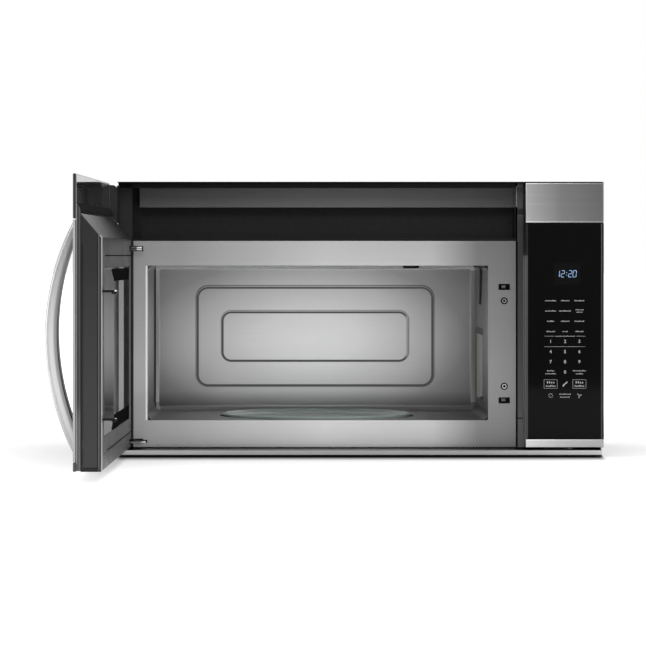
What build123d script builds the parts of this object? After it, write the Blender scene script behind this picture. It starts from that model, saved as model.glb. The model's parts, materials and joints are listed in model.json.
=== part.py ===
from build123d import *

import math
import os

# An over the range microwave, in millimetres.  It is laid out in a bench frame: X = 0 in the
# middle of the width, Y = 0 at the front face of door and control panel with +Y to the rear,
# Z = 0 at the underside.  When a piece is written it is shifted so that the origin becomes the
# middle of the face that lies against the wall.  The door's pieces are drawn shut and swung open.

# ---------------------------------------------------------------- driving sizes: general
SHEET = 1.0                      # folded sheet steel
RUN_GAP = 0.3                    # between pieces that move past each other
PIN_CLEARANCE = 0.05             # radial, pins and shafts in their bores
FIT = 0.1                        # radial, fixed round pieces in their holes
CUT = 5.0                        # how far a cutting shape runs past the faces it cuts
LAP = 1.0                        # how far the lumps of one piece reach into each other

# ---------------------------------------------------------------- driving sizes: body
BODY_WIDTH = 759.0
BODY_HEIGHT = 430.0
BODY_DEPTH = 400.0
TOP_REVEAL = 1.5                 # from body top down to door and panel top
FRONT_BOTTOM = 15.4              # underside of door and control panel
FRONT_EDGE = 46.0                # front edge of the cabinet sides
SIDE_FLANGE = 22.0               # inward flange at the cabinet's left front edge
TOP_FRONT_EDGE = 8.0             # front edge of the cabinet top
WALL_PLATE_SHEET = 1.5           # thickness of the plate that hangs on the wall
GLAND_X = 300.0
GLAND_FROM_REAR = 67.5
GLAND_R = 14.0
GLAND_NECK_R = 11.0
GLAND_BORE_R = 8.0
GLAND_LENGTH = 8.0

# ---------------------------------------------------------------- driving sizes: front
PANEL_WIDTH = 122.0
PANEL_GAP = 2.0                  # between door, oven front and control panel
PANEL_FLANGE = 10.0              # strip of the panel frame that shows beside the oven front
PANEL_WALL = 2.5
PANEL_REAR_SHEET = 3.0
PANEL_REAR_RIM = 20.0            # solid rim round the cut-out in the panel frame's rear wall
PANEL_REAR_SILL = 44.6
PANEL_REAR_HEAD = 88.5
GLASS = 4.0
GLASS_SETBACK = 0.6              # panel glass behind the stainless pieces
GLASS_EDGE = 0.5                 # small chamfer round the glass
GLASS_INSET = 1.0                # panel glass from the panel's left edge
BLOCK_HEIGHT = 62.5              # stainless band across the top of door and panel
BLOCK_SHEET = 1.5
BLOCK_BEVEL = 1.2
STRIP_BEVEL = 0.8
BAND_GAP = 1.5                   # dark joint between band and glass
STRIP_GAP = 0.75                 # dark joint between glass and lower strip
STRIP_HEIGHT = 12.7              # lower stainless strip
DISPLAY_WIDTH = 42.0
DISPLAY_HEIGHT = 34.0
DISPLAY_DROP = 72.0              # glass top to display centre
DISPLAY_OFFSET = 2.5             # display centre right of the panel's middle
DISPLAY_ROOM = 1.0               # display module to the edges of its window
BOARD_Y = 14.0
BOARD_SHEET = 1.6
BOARD_SIDE = 10.0
BOARD_END = 20.0
POST_R = 3.0
POST_SIDE = 6.0
POST_END = 8.0
RELAY = (22.0, 14.4, 30.0)       # width, depth, height of the part on the control board
RELAY_CORNER = (12.0, 30.0)      # across and up from the board's lower left corner
BLOCK_PART = (26.0, 11.4, 20.0)
BLOCK_CORNER = (14.0, 40.0)      # across and up from the board's lower right corner

# ---------------------------------------------------------------- driving sizes: door
DOOR_THICK = 39.0
DOOR_GAP = 2.0                   # closed door to oven front plate
DOOR_OPEN = 91.4                 # degrees, the door as it stands at rest
HINGE_INSET = 10.5               # hinge axis from the door's left edge
HINGE_BACK = 9.8                 # hinge axis in front of the door's inner face
HINGE_PIN_R = 3.0
HINGE_PIN_LENGTH = 11.0
HINGE_PLATE = 5.0
HINGE_LOBE = 6.0
HINGE_ARM_INSET = 2.5            # hinge arm from the oven front's left edge
HINGE_ARM_WIDTH = 12.0
HINGE_ARM_DEPTH = 14.0           # how far the arm reaches behind the oven front
HINGE_TAB = 28.0
HINGE_TAB_SHEET = 3.0
HINGE_ROOM = 1.5                 # above and below a hinge plate in its notches
HINGE_TURN_ROOM = 1.2            # in front of a hinge arm in the door's notch
HINGE_SWING_ROOM = 4.0           # beside a hinge arm in the door's notch
HINGE_PIN_ROOM = 1.0             # over the end of a hinge pin
HINGE_UPPER_DROP = 12.0          # oven front's top edge to upper hinge
HINGE_LOWER_RISE = 9.4           # oven front's bottom edge to lower hinge
FRAME_INSET = 1.5                # plastic frame behind the outer edges of glass and band
DOOR_FRONT_FRAME = 6.8           # depth of the plastic frame behind the door glass
BACKING = 1.2                    # plastic behind the band's rear edge
COVE_FOOT = 9.0                  # rounded foot of the backing, from and to above the band's base
COVE_HEAD = 22.0
END_RIB_SHEET = 2.5              # rib across the backing at the hinge end
END_RIB_DEPTH = 17.5
END_RIB_DROP = 1.5
END_RIB_ROUND = 8.0
SLOPE_RISE = 33.0                # how far the door's top slopes up to its outer side
DOOR_TOP_LAP = 2.4               # top of the door's inner face above the oven front
DOOR_END_RADIUS = 7.0
WINDOW_MARGIN = 38.0             # oven opening edge to door window edge, left and right
WINDOW_MARGIN_HIGH = 26.6        # the same above and below
WINDOW_STEP = 2.0                # recess of the inner window
WINDOW_SIDE_ROOM = 3.0           # oven opening edge to window recess, left and right
WINDOW_FOOT_ROOM = 5.0
WINDOW_HEAD_ROOM = 1.0
PANE_ROOM = 0.5                  # inner window to the edges of its recess
INNER_PANE = 1.6
SCREEN = 1.0
SCREEN_DEPTH = 3.0               # behind the door's front frame
SCREEN_REBATE = 6.0
SCREEN_RIM = 5.5
COVER_LINE = (7.5, 5.0, 15.5, 19.5)  # choke cover past the opening: left, right, top, bottom
COVER_GROOVE = 1.2
COVER_GROOVE_DEPTH = 0.8
COVER_RADIUS = 6.0
EDGE_SLOT = (12.0, 15.0)         # depth range of the slots in the door's free edge
EDGE_SLOT_DEPTH = 1.5
EDGE_SLOT_LOWER = (10.4, 31.8)   # height above the door's underside
EDGE_SLOT_UPPER = (42.2, 314.6)
EDGE_JOINT = (34.0, 35.4)        # joint line round the moulding, in depth
EDGE_JOINT_DEPTH = 1.0

# ---------------------------------------------------------------- driving sizes: oven cavity
CAVITY_HEADROOM = 131.0           # oven ceiling to body top
CAVITY_LEFT = 46.0               # body side to cavity
CAVITY_JAMB = 44.0               # cavity to the oven front's right edge
CAVITY_FLOOR = 56.0
REAR_ROOM = 14.1                 # air behind the oven
CORNER = 10.0                    # inside corner radius
SEAM = 4.0                       # floor seam above the corner bends
PAN_DEPTH = 11.0                 # depth of the pressed back wall
PAN_RADIUS = 9.0
BACK_SHEET = 2.4
PLATE_LEFT_MARGIN = 22.0         # front plate beside, above and below the opening
PLATE_TOP_MARGIN = 38.6
PLATE_BOTTOM_MARGIN = 42.4
PLATE_SIDE_FOLD = 19.0           # rearward fold at the front plate's left edge
LIP_WIDTH = 3.0
LIP_PROUD = 0.8
GROOVE_WIDTH = 3.2
GROOVE_DEPTH = 1.4
GROOVE_LIFT = 2.0                # groove centre above the cavity's middle
GROOVE_OUTER = (395.0, 166.0, 19.0)   # width, height, corner radius
GROOVE_INNER = (312.0, 84.0, 16.0)
LAMP_FROM_FRONT = 191.0          # lamp holes, from the opening and from the ceiling
LAMP_DROP = 31.0
LAMP_HOLE_R = 2.0
LAMP_HOLE_PITCH = 6.5
LAMP_GRID_COLUMNS = 4
LAMP_GRID_ROWS = 8
LAMP_BOX = (12.0, 40.0, 64.0)    # depth, length, height
LAMP_SOCKET_R = 12.0
LAMP_SOCKET_LENGTH = 18.0
COVER_FRONT = 126.0              # waveguide cover, from the opening
COVER_REAR = 27.0                # and from the back wall
COVER_RISE = 26.0                # and from the floor
COVER_HEIGHT = 115.0
COVER_SHEET = 0.9
COVER_CHAMFER = 9.0
PORT_MARGIN = 14.0
SENSOR_FROM_RIGHT = 114.5
SENSOR_FROM_FRONT = 159.0
SENSOR_R = 13.5
SENSOR_STEM_R = 9.5
SENSOR_HANG = 5.0
SENSOR_LENGTH = 12.0
SENSOR_ROUND = 3.0

# ---------------------------------------------------------------- driving sizes: turntable
TRAY_MARGIN = 17.5               # tray to the opening and to the back wall
TRAY_GLASS = 6.0
TRAY_RIM = 5.0
TRAY_RIM_WIDTH = 9.0
TRAY_ROUNDS = (5.0, 4.0, 2.0)    # under the edge, inside the bowl, on the rim
WELL_GAP = 4.5
WELL_DEPTH = 19.0
SHAFT_HOLE_ROOM = 3.0
WHEEL_RADIUS = 6.0
WHEEL_WIDTH = 5.0
WHEEL_COUNT = 3
WHEEL_PIN_R = 1.5
WHEEL_HEAD_R = 2.5
WHEEL_HEAD = 2.4
RING_RADIUS = 105.0
RING_BAR = 6.0
RING_THICK = 5.0
COUPLER_LIFT = 1.0               # coupler above the well floor
HUB_R = 7.2
LOBE_R = 5.0
LOBE_OUT = 8.0
LOBE_COUNT = 3
SHAFT_RADIUS = 3.5
SHAFT_END_ROOM = 2.0
MOTOR_RADIUS = 24.0
MOTOR_HEIGHT = 18.0
MOTOR_FLOOR = 4.0
MOTOR_EAR = (8.0, 12.0, 1.5)     # reach, width, thickness

# ---------------------------------------------------------------- driving sizes: latch
HOOK_FROM_PANEL = 30.5           # centre of the hooks left of the panel
HOOK_WIDTH = 8.0
HOOK_BLADE = 4.0                 # thickness of the hooks where they leave the door
HOOK_SIDE_ROOM = 1.0
HOOK_ARM = 3.5
HOOK_TIP = 5.5
HOOK_TIP_LENGTH = 7.0
HOOK_NOSE = 1.8
HOOK_REACH = 20.0
HOOK_FLOOR_GAP = 0.6             # hook above the lower edge of its slot
HOOK_ROOM = 1.0                  # above and below the hooks in the door's slots
SLOT_WIDTH = 18.0
SLOT_HEIGHT = 9.7
SLOT_UPPER_DROP = 38.35          # cavity top to upper slot's lower edge
SLOT_LOWER_RISE = 26.25          # cavity bottom to lower slot's lower edge
LATCH_BAR_BACK = 18.0            # latch bar in front of the door's inner face
BAR_DEPTH = 6.0
BAR_END = 6.0                    # latch bar past the hooks
SPRING_R = 2.4
SPRING_WIRE = 0.6
SPRING_TURNS = 6
SPRING_LENGTH = 26.0
JAMB_SCREW_R = 5.2
JAMB_SCREW_SHANK_R = 2.6
JAMB_SCREW_HEAD = 1.4
JAMB_SCREW_ROUND = 1.0
JAMB_SCREW_DROP = 55.3           # cavity top to upper screw
JAMB_SCREW_RISE = 53.4           # cavity bottom to lower screw
PLUNGER = (6.0, 5.0, 4.0)        # width, length out of the switch, height
PLUNGER_TRAVEL = 2.0
PLUNGER_SEAT = 2.0               # length that stays inside the switch
SWITCH = (20.0, 27.0, 10.0)      # width, depth, height
BRACKET_WALL = 2.0
BRACKET_END = 6.0

# ---------------------------------------------------------------- driving sizes: handle
HANDLE_LENGTH = 328.0
HANDLE_RISE = 41.3
HANDLE_INNER_LENGTH = 249.0
HANDLE_INNER_RISE = 22.9
HANDLE_LIFT = 4.325              # handle centre above the middle of the glass
HANDLE_INNER_OFFSET = 7.4
HANDLE_WIDTH = 24.0
HANDLE_FROM_EDGE = 22.0
HANDLE_ROUND = 4.0

# ---------------------------------------------------------------- driving sizes: vent
RAIL_HEIGHT = 8.0                # dark rail under the body top
BAND_HEIGHT = 30.5
BAND_SETBACK = 60.0
BAND_WALL = 2.0
VENT_SILL_HEIGHT = 4.0
VENT_BACK = 84.0
VENT_LEFT_GAP = 15.0
GRILLE_LAP = 4.0                 # grille behind the cabinet's side flange
CHARCOAL_THICK = 16.0
CHARCOAL_LAP = 20.0              # filter behind the band
BLOWER_FROM_REAR = 79.5
BLOWER_CLEAR = 11.0              # scroll casing to oven and body top
BLOWER_LENGTH = 92.0
BLOWER_BLADES = 20
BLADE = (1.2, 8.0)               # thickness, chord
BLADE_TILT = 25.0
BLADE_INSET = 5.0
WHEEL_DISC = 3.0
WHEEL_RING = 9.0
WHEEL_HUB = 5.0                  # wall of the blower wheel's hub
WHEEL_HUB_LENGTH = 20.0
BLOWER_SHAFT_R = 4.0
BLOWER_SHAFT_END = 14.0
BLOWER_MOTOR_STEP = 7.0          # motor radius under the wheels' radius
BLOWER_MOTOR_LENGTH = 84.0
BLOWER_FOOT = (40.0, 12.0, 8.0)  # width, height above the shaft, thickness
SCROLL_GAP = 7.0
SCROLL_WALL = 1.5
SCROLL_MOUTH = 40.0              # how far the outlet reaches in front of the scroll
SCROLL_LOW = 8.0                 # outlet floor above the shaft
INLET_STEP = 12.0                # inlet radius under the wheel's radius
BRIDGE = (20.0, 18.0)            # in front of the scroll: from, to
HANGER = (30.0, 10.0)

# ---------------------------------------------------------------- driving sizes: component bay
GUIDE_WIDTH = 36.0
GUIDE_WALL = 1.2
GUIDE_INSET = 4.0                # waveguide inside its cover's outline
ANTENNA_R = 8.0
ANTENNA_LENGTH = 22.0
ANTENNA_ROOM = 3.0
MAGNETRON = (86.0, 80.0, 92.0)   # width, depth, height
YOKE_WALLS = (12.0, 18.0, 3.0)   # left, right, top and bottom
ANODE_R = 19.0
FIN_COUNT = 8
FIN_START = 16.0
FIN_PITCH = 6.0
FIN_SHEET = 1.0
FIN_INSET = 4.0
BAY_OFFSET = 21.5                # fan and transformer right of the bay's middle
TRANSFORMER = (92.0, 84.0, 84.0)
TRANSFORMER_REAR = 16.0
CORE_INSET = 18.0
COIL_INSET = 14.0
COIL_LOW = 12.0
COIL_HEIGHT = 28.0
COIL_STEP = 34.0
COIL_ROUND = 10.0
CAPACITOR = (56.0, 32.0, 88.0)
CAPACITOR_Y = 72.0
CAPACITOR_ROUND = 15.5
TERMINAL = (0.8, 8.0, 9.0)
TERMINAL_SPREAD = 20.0
FAN_Y = 128.0
FAN_Z = 150.0
FAN_SIZE = 116.0
FAN_DEPTH = 24.0
FAN_RADIUS = 48.0
FAN_TIP_ROOM = 4.0
FAN_BLADES = 5
FAN_BLADE = (22.0, 1.6, 36.0)    # chord, thickness, length
FAN_BLADE_TILT = 35.0
FAN_BLADE_OUT = 28.0
FAN_HUB_R = 12.0
FAN_HUB_LENGTH = 16.0
FAN_HUB_GAP = 4.0
FAN_MOTOR = (44.0, 26.0)         # width and height, depth
FAN_BAR = (14.0, 2.0)
FAN_BAR_INSET = 4.0
FAN_SHAFT_R = 2.5
FAN_SHAFT_BACK = 18.0
FAN_LEG = (2.0, 8.0)
FAN_LEG_INSET = 10.0
LINE_BOARD = (140.0, 90.0)       # length, height
LINE_BOARD_Y = 70.0
LINE_BOARD_Z = 250.0
LINE_BOARD_STAND = 8.0
LINE_PART = (20.0, 24.0, 30.0)   # how far it stands out, length, height
LINE_PART_START = (18.0, 20.0)
LINE_PART_PITCH = 42.0
LINE_PARTS = 3

# ---------------------------------------------------------------- driving sizes: underside
FILTER_WIDTH = 200.0
FILTER_LENGTH = 120.0
FILTER_THICK = 9.0
FILTER_FRAME = 8.0
FILTER_MESH_INSET = 2.0
FILTER_LIP = 6.0
FILTER_TRAVEL = 10.0
FILTER_END_ROOM = 2.0
FILTER_FROM_LEFT = 148.5         # body's left side to the left filter's centre
FILTER_FROM_OVEN = 102.5         # oven's right wall to the right filter's centre
FILTER_FROM_REAR = 107.5
LENS_WIDTH = 150.0
LENS_LENGTH = 60.0
LENS_RIM = 6.0
LENS_RIM_THICK = 2.0
LENS_Y = 90.0
LAMP_HOLDER = (32.0, 8.0)        # width, height
LAMP_BULB = (9.0, 14.0)          # radius, height
LAMP_SPREAD = 75.0
STRIP_SETBACK = 2.0
STRIP_LOW = 2.5
STRIP_FACE = 9.3
STRIP_SHEET = 2.0
STRIP_FOOT = 6.0
STRIP_SIDES = (4.0, 2.5)         # inset at left and right
UPSTAND_INSET = 12.0
UPSTAND_HEIGHT = 6.5
LOUVRE_COUNT = 9
LOUVRE_Y = 60.0
LOUVRE_PITCH = 10.0
LOUVRE_SLOT = 5.0
LOUVRE_SIDES = (20.0, 25.0)

# ---------------------------------------------------------------- driving sizes: wall fixing
WALL_PLATE_WIDTH = 720.0
WALL_PLATE_HEIGHT = 300.0
WALL_HOLE_R = 3.3
WALL_HOLE_X = 640.0
WALL_HOLE_Z = 240.0
TOP_BOLT_R = 4.0
TOP_BOLT_SPACING = 480.0
TOP_BOLT_Y = 120.0
TAB_WIDTH = 30.0
TAB_SPREAD = 500.0
TAB_Z = 22.0
TAB_REACH = 5.0
TAB_HOOK = 8.0
TAB_ROOM = 1.0
TAB_SLOT = 11.0

# ---------------------------------------------------------------- derived places: body and front
LEFT = -BODY_WIDTH / 2
RIGHT = BODY_WIDTH / 2
WALL_HEIGHT = BODY_HEIGHT / 2                       # height of the origin above the underside
ORIGIN = Vector(0, BODY_DEPTH, WALL_HEIGHT)
TOP_INNER = BODY_HEIGHT - SHEET
REAR_OUTER = BODY_DEPTH - WALL_PLATE_SHEET
REAR_INNER = REAR_OUTER - SHEET
GLAND_Y = REAR_INNER - GLAND_FROM_REAR
FRONT_TOP = BODY_HEIGHT - TOP_REVEAL
BAND_BASE = FRONT_TOP - BLOCK_HEIGHT
GLASS_TOP = BAND_BASE - BAND_GAP
GLASS_BASE = FRONT_BOTTOM + STRIP_HEIGHT + STRIP_GAP
HANDLE_CENTRE = (GLASS_BASE + GLASS_TOP) / 2 + HANDLE_LIFT
PANEL_LEFT = RIGHT - PANEL_WIDTH
DOOR_RIGHT = PANEL_LEFT - PANEL_GAP
PLATE_Y = DOOR_THICK + DOOR_GAP
PLATE_REAR = PLATE_Y + SHEET
PLATE_X1 = PANEL_LEFT - PANEL_FLANGE - PANEL_GAP

# ---------------------------------------------------------------- derived places: oven
CAV_X0 = LEFT + CAVITY_LEFT
CAV_X1 = PLATE_X1 - CAVITY_JAMB
CAV_XM = (CAV_X0 + CAV_X1) / 2
CAV_Z0 = CAVITY_FLOOR
CAV_Z1 = BODY_HEIGHT - CAVITY_HEADROOM
CAV_BACK = REAR_INNER - REAR_ROOM - BACK_SHEET
PAN_FRONT = CAV_BACK - PAN_DEPTH
PLATE_X0 = CAV_X0 - PLATE_LEFT_MARGIN
PLATE_Z0 = CAV_Z0 - PLATE_BOTTOM_MARGIN
PLATE_Z1 = CAV_Z1 + PLATE_TOP_MARGIN
COVER_Y = (PLATE_Y + COVER_FRONT, CAV_BACK - COVER_REAR)
COVER_Z = (CAV_Z0 + COVER_RISE, CAV_Z0 + COVER_RISE + COVER_HEIGHT)
LAMP_GRID_Y = PLATE_Y + LAMP_FROM_FRONT
LAMP_GRID_Z = CAV_Z1 - LAMP_DROP
SENSOR_X = CAV_X1 - SENSOR_FROM_RIGHT
SENSOR_Y = PLATE_Y + SENSOR_FROM_FRONT
TABLE_Y = (PLATE_Y + CAV_BACK) / 2
TRAY_RADIUS = (CAV_BACK - PLATE_Y) / 2 - TRAY_MARGIN
WELL_RADIUS = TRAY_RADIUS + WELL_GAP
WELL_FLOOR = CAV_Z0 - WELL_DEPTH
WHEEL_Z = WELL_FLOOR + RUN_GAP + WHEEL_RADIUS
TRAY_BASE = WHEEL_Z + WHEEL_RADIUS + RUN_GAP
RING_OUTER = RING_RADIUS - WHEEL_WIDTH / 2 - RUN_GAP

# ---------------------------------------------------------------- derived places: door and latch
HINGE_X = LEFT + HINGE_INSET
HINGE_Y = DOOR_THICK - HINGE_BACK
HINGE_LEVELS = (PLATE_Z1 - HINGE_UPPER_DROP, PLATE_Z0 + HINGE_LOWER_RISE)
HINGE_ARM_X0 = PLATE_X0 + HINGE_ARM_INSET
HINGE_ARM_X1 = HINGE_ARM_X0 + HINGE_ARM_WIDTH
FRAME_REAR = GLASS + DOOR_FRONT_FRAME
DOOR_TOP_INNER = PLATE_Z1 + DOOR_TOP_LAP
WINDOW_X = (CAV_X0 + WINDOW_MARGIN, CAV_X1 - WINDOW_MARGIN)
WINDOW_Z = (CAV_Z0 + WINDOW_MARGIN_HIGH, CAV_Z1 - WINDOW_MARGIN_HIGH)
RECESS_X = (CAV_X0 + WINDOW_SIDE_ROOM, CAV_X1 - WINDOW_SIDE_ROOM)
RECESS_Z = (CAV_Z0 + WINDOW_FOOT_ROOM, CAV_Z1 - WINDOW_HEAD_ROOM)
RECESS_Y = DOOR_THICK - WINDOW_STEP
SCREEN_Y = FRAME_REAR + SCREEN_DEPTH
HOOK_X = PANEL_LEFT - HOOK_FROM_PANEL
HOOK_TIP_Y = DOOR_THICK + HOOK_REACH
SLOT_LEVELS = (CAV_Z1 - SLOT_UPPER_DROP, CAV_Z0 + SLOT_LOWER_RISE)
SLOT_MIDDLES = [level + SLOT_HEIGHT / 2 for level in SLOT_LEVELS]
HOOK_LEVELS = [level + HOOK_FLOOR_GAP for level in SLOT_LEVELS]
LATCH_TRAVEL = SLOT_HEIGHT - HOOK_TIP - HOOK_FLOOR_GAP - RUN_GAP
LATCH_BAR_Y = DOOR_THICK - LATCH_BAR_BACK
LATCH_BAR_Z = (min(HOOK_LEVELS) - BAR_END, max(HOOK_LEVELS) + HOOK_TIP + BAR_END)
SCREW_LEVELS = (CAV_Z1 - JAMB_SCREW_DROP, CAV_Z0 + JAMB_SCREW_RISE)
PLUNGER_Y = HOOK_TIP_Y + 2 * RUN_GAP
SWITCH_Y = PLUNGER_Y + PLUNGER[1]

# ---------------------------------------------------------------- derived places: vent, bay, base
BAND_TOP = TOP_INNER - RAIL_HEIGHT
BAND_BOTTOM = BAND_TOP - BAND_HEIGHT
VENT_SILL = PLATE_Z1 + VENT_SILL_HEIGHT
GRILLE_X0 = LEFT + SIDE_FLANGE - GRILLE_LAP
GRILLE_Y = FRONT_EDGE + SHEET
BAND_X0 = GRILLE_X0 + VENT_LEFT_GAP
BLOWER_Y = REAR_INNER - BLOWER_FROM_REAR
BLOWER_Z = (CAV_Z1 + SHEET + TOP_INNER) / 2
SCROLL_R = TOP_INNER - BLOWER_Z - BLOWER_CLEAR - SCROLL_WALL
BLOWER_RADIUS = SCROLL_R - SCROLL_GAP
BLOWER_MOTOR_R = BLOWER_RADIUS - BLOWER_MOTOR_STEP
SCROLL_FRONT = BLOWER_Y - SCROLL_R
BAY_X0 = CAV_X1 + SHEET
BAY_XM = (BAY_X0 + RIGHT - SHEET) / 2 + BAY_OFFSET
MAGNETRON_Y = (COVER_Y[0] + COVER_Y[1]) / 2
MAGNETRON_Z = (COVER_Z[0] + COVER_Z[1]) / 2
FILTER_CENTRES = (LEFT + FILTER_FROM_LEFT, CAV_X1 - FILTER_FROM_OVEN)
FILTER_Y = REAR_INNER - FILTER_FROM_REAR
FILTER_Z0 = SHEET + RUN_GAP
STRIP_HIGH = STRIP_LOW + STRIP_FACE


# ================================================================ shapes used throughout
def box(x0, x1, y0, y1, z0, z1):
    """A block between two corners."""
    size = Box(x1 - x0, y1 - y0, z1 - z0)
    return Pos((x0 + x1) / 2, (y0 + y1) / 2, (z0 + z1) / 2) * size


def rod_x(radius, x0, x1, y, z):
    """A round bar along X."""
    return Pos((x0 + x1) / 2, y, z) * Rot(0, 90, 0) * Cylinder(radius, x1 - x0)


def rod_y(radius, x, y0, y1, z):
    """A round bar along Y."""
    return Pos(x, (y0 + y1) / 2, z) * Rot(90, 0, 0) * Cylinder(radius, y1 - y0)


def rod_z(radius, x, y, z0, z1):
    """A round bar along Z."""
    return Pos(x, y, (z0 + z1) / 2) * Cylinder(radius, z1 - z0)


def rounded_bar_y(x0, x1, z0, z1, radius, y0, y1):
    """A block along Y whose XZ section has round corners."""
    section = RectangleRounded(x1 - x0, z1 - z0, radius)
    plane = Plane(origin=((x0 + x1) / 2, y1, (z0 + z1) / 2), x_dir=(1, 0, 0), z_dir=(0, -1, 0))
    return extrude(plane * section, y1 - y0)


def front_edges(shape):
    return shape.faces().sort_by(Axis.Y)[0].edges()


def open_door(shape):
    """Swing a piece of the closed door to where the door stands at rest."""
    axis = Axis((HINGE_X, HINGE_Y, 0), (0, 0, 1))
    return shape.rotate(axis, -DOOR_OPEN)


def save(name, *shapes):
    """Write one node, with the origin moved to the middle of the wall face."""
    solids = [solid for shape in shapes for solid in shape.solids()]
    moved = [Pos(-ORIGIN.X, -ORIGIN.Y, -ORIGIN.Z) * solid for solid in solids]
    export_step(moved[0] if len(moved) == 1 else Compound(children=moved), f"parts/{name}.step")


# ================================================================ cabinet
def cabinet_wrap():
    top = box(LEFT, RIGHT, TOP_FRONT_EDGE, REAR_INNER, TOP_INNER, BODY_HEIGHT)
    left = box(LEFT, LEFT + SHEET, FRONT_EDGE, REAR_INNER, 0, BODY_HEIGHT)
    right = box(RIGHT - SHEET, RIGHT, FRONT_EDGE, REAR_INNER, 0, BODY_HEIGHT)
    flange = box(LEFT, LEFT + SIDE_FLANGE, FRONT_EDGE, FRONT_EDGE + SHEET, SHEET, BODY_HEIGHT)
    wrap = top + left + right + flange
    for side in (-1, 1):
        x = side * TOP_BOLT_SPACING / 2
        wrap -= rod_z(TOP_BOLT_R, x, TOP_BOLT_Y, TOP_INNER - CUT, BODY_HEIGHT + CUT)
    return wrap - rod_z(GLAND_NECK_R + FIT, GLAND_X, GLAND_Y, TOP_INNER - CUT, BODY_HEIGHT + CUT)


def cord_gland():
    """A bush through the cabinet top, flush with it, with its collar inside."""
    low = BODY_HEIGHT - GLAND_LENGTH
    neck = rod_z(GLAND_NECK_R, GLAND_X, GLAND_Y, low, BODY_HEIGHT)
    collar = rod_z(GLAND_R, GLAND_X, GLAND_Y, low, TOP_INNER)
    bore = rod_z(GLAND_BORE_R, GLAND_X, GLAND_Y, low - CUT, BODY_HEIGHT + CUT)
    return neck + collar - bore


def filter_bay(x):
    """The two side rails and the rear tongue that carry one grease filter."""
    half = FILTER_WIDTH / 2
    y0 = FILTER_Y - FILTER_LENGTH / 2
    y1 = FILTER_Y + FILTER_LENGTH / 2
    rail_end = y1 + FILTER_TRAVEL + FILTER_END_ROOM
    tongue_z = FILTER_Z0 + FILTER_THICK + RUN_GAP
    inner = half + RUN_GAP
    outer = inner + SHEET
    left = box(x - outer, x - inner, y0, rail_end, SHEET, tongue_z + SHEET)
    right = box(x + inner, x + outer, y0, rail_end, SHEET, tongue_z + SHEET)
    tongue = box(x - outer, x + outer, y1 - FILTER_LIP, rail_end, tongue_z, tongue_z + SHEET)
    return left + right + tongue


def filter_hole(x):
    half_x = FILTER_WIDTH / 2 - FILTER_LIP
    half_y = FILTER_LENGTH / 2 - FILTER_LIP
    return box(x - half_x, x + half_x, FILTER_Y - half_y, FILTER_Y + half_y, -CUT, SHEET + CUT)


def base_plate():
    pan = box(LEFT + SHEET, RIGHT - SHEET, STRIP_SETBACK + STRIP_SHEET, REAR_INNER, 0, SHEET)
    upstand_y = STRIP_SETBACK + STRIP_FOOT
    pan += box(LEFT + UPSTAND_INSET, RIGHT - UPSTAND_INSET, upstand_y, upstand_y + SHEET,
               0, UPSTAND_HEIGHT)
    for x in FILTER_CENTRES:
        pan -= filter_hole(x)
        pan += filter_bay(x)
    pan -= box(CAV_XM - LENS_WIDTH / 2, CAV_XM + LENS_WIDTH / 2,
               LENS_Y - LENS_LENGTH / 2, LENS_Y + LENS_LENGTH / 2, -CUT, SHEET + CUT)
    for row in range(LOUVRE_COUNT):
        y = LOUVRE_Y + row * LOUVRE_PITCH
        pan -= box(PANEL_LEFT + LOUVRE_SIDES[0], RIGHT - LOUVRE_SIDES[1], y, y + LOUVRE_SLOT,
                   -CUT, SHEET + CUT)
    return pan


def base_front_strip():
    x0, x1 = LEFT + STRIP_SIDES[0], RIGHT - STRIP_SIDES[1]
    y0 = STRIP_SETBACK
    face = box(x0, x1, y0, y0 + STRIP_SHEET, STRIP_LOW, STRIP_HIGH)
    ledge = box(x0, x1, y0, PLATE_Y - SHEET, STRIP_HIGH - SHEET, STRIP_HIGH)
    foot = box(x0, x1, y0, y0 + STRIP_FOOT, STRIP_LOW, STRIP_LOW + SHEET)
    return face + ledge + foot


def rear_panel():
    panel = box(LEFT, RIGHT, REAR_INNER, REAR_OUTER, 0, BODY_HEIGHT)
    half = TAB_WIDTH / 2 + TAB_ROOM
    for side in (-1, 1):
        x = side * TAB_SPREAD / 2
        panel -= box(x - half, x + half, REAR_INNER - CUT, REAR_OUTER + CUT,
                     TAB_Z - TAB_ROOM, TAB_Z - TAB_ROOM + TAB_SLOT)
    return panel


def wall_mounting_plate():
    """The plate on the wall, with two tabs that hook through the rear panel."""
    half = WALL_PLATE_WIDTH / 2
    z0, z1 = WALL_HEIGHT - WALL_PLATE_HEIGHT / 2, WALL_HEIGHT + WALL_PLATE_HEIGHT / 2
    plate = box(-half, half, REAR_OUTER, BODY_DEPTH, z0, z1)
    hook_y = REAR_INNER - TAB_REACH
    for side in (-1, 1):
        low = side * TAB_SPREAD / 2 - TAB_WIDTH / 2
        high = low + TAB_WIDTH
        plate += box(low, high, REAR_OUTER, BODY_DEPTH, TAB_Z, z0)
        plate += box(low, high, hook_y, BODY_DEPTH, TAB_Z, TAB_Z + WALL_PLATE_SHEET)
        plate += box(low, high, hook_y, hook_y + WALL_PLATE_SHEET, TAB_Z, TAB_Z + TAB_HOOK)
        for level in (-1, 1):
            hole_x = side * WALL_HOLE_X / 2
            hole_z = WALL_HEIGHT + level * WALL_HOLE_Z / 2
            plate -= rod_y(WALL_HOLE_R, hole_x, REAR_OUTER - CUT, BODY_DEPTH + CUT, hole_z)
    return plate


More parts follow.
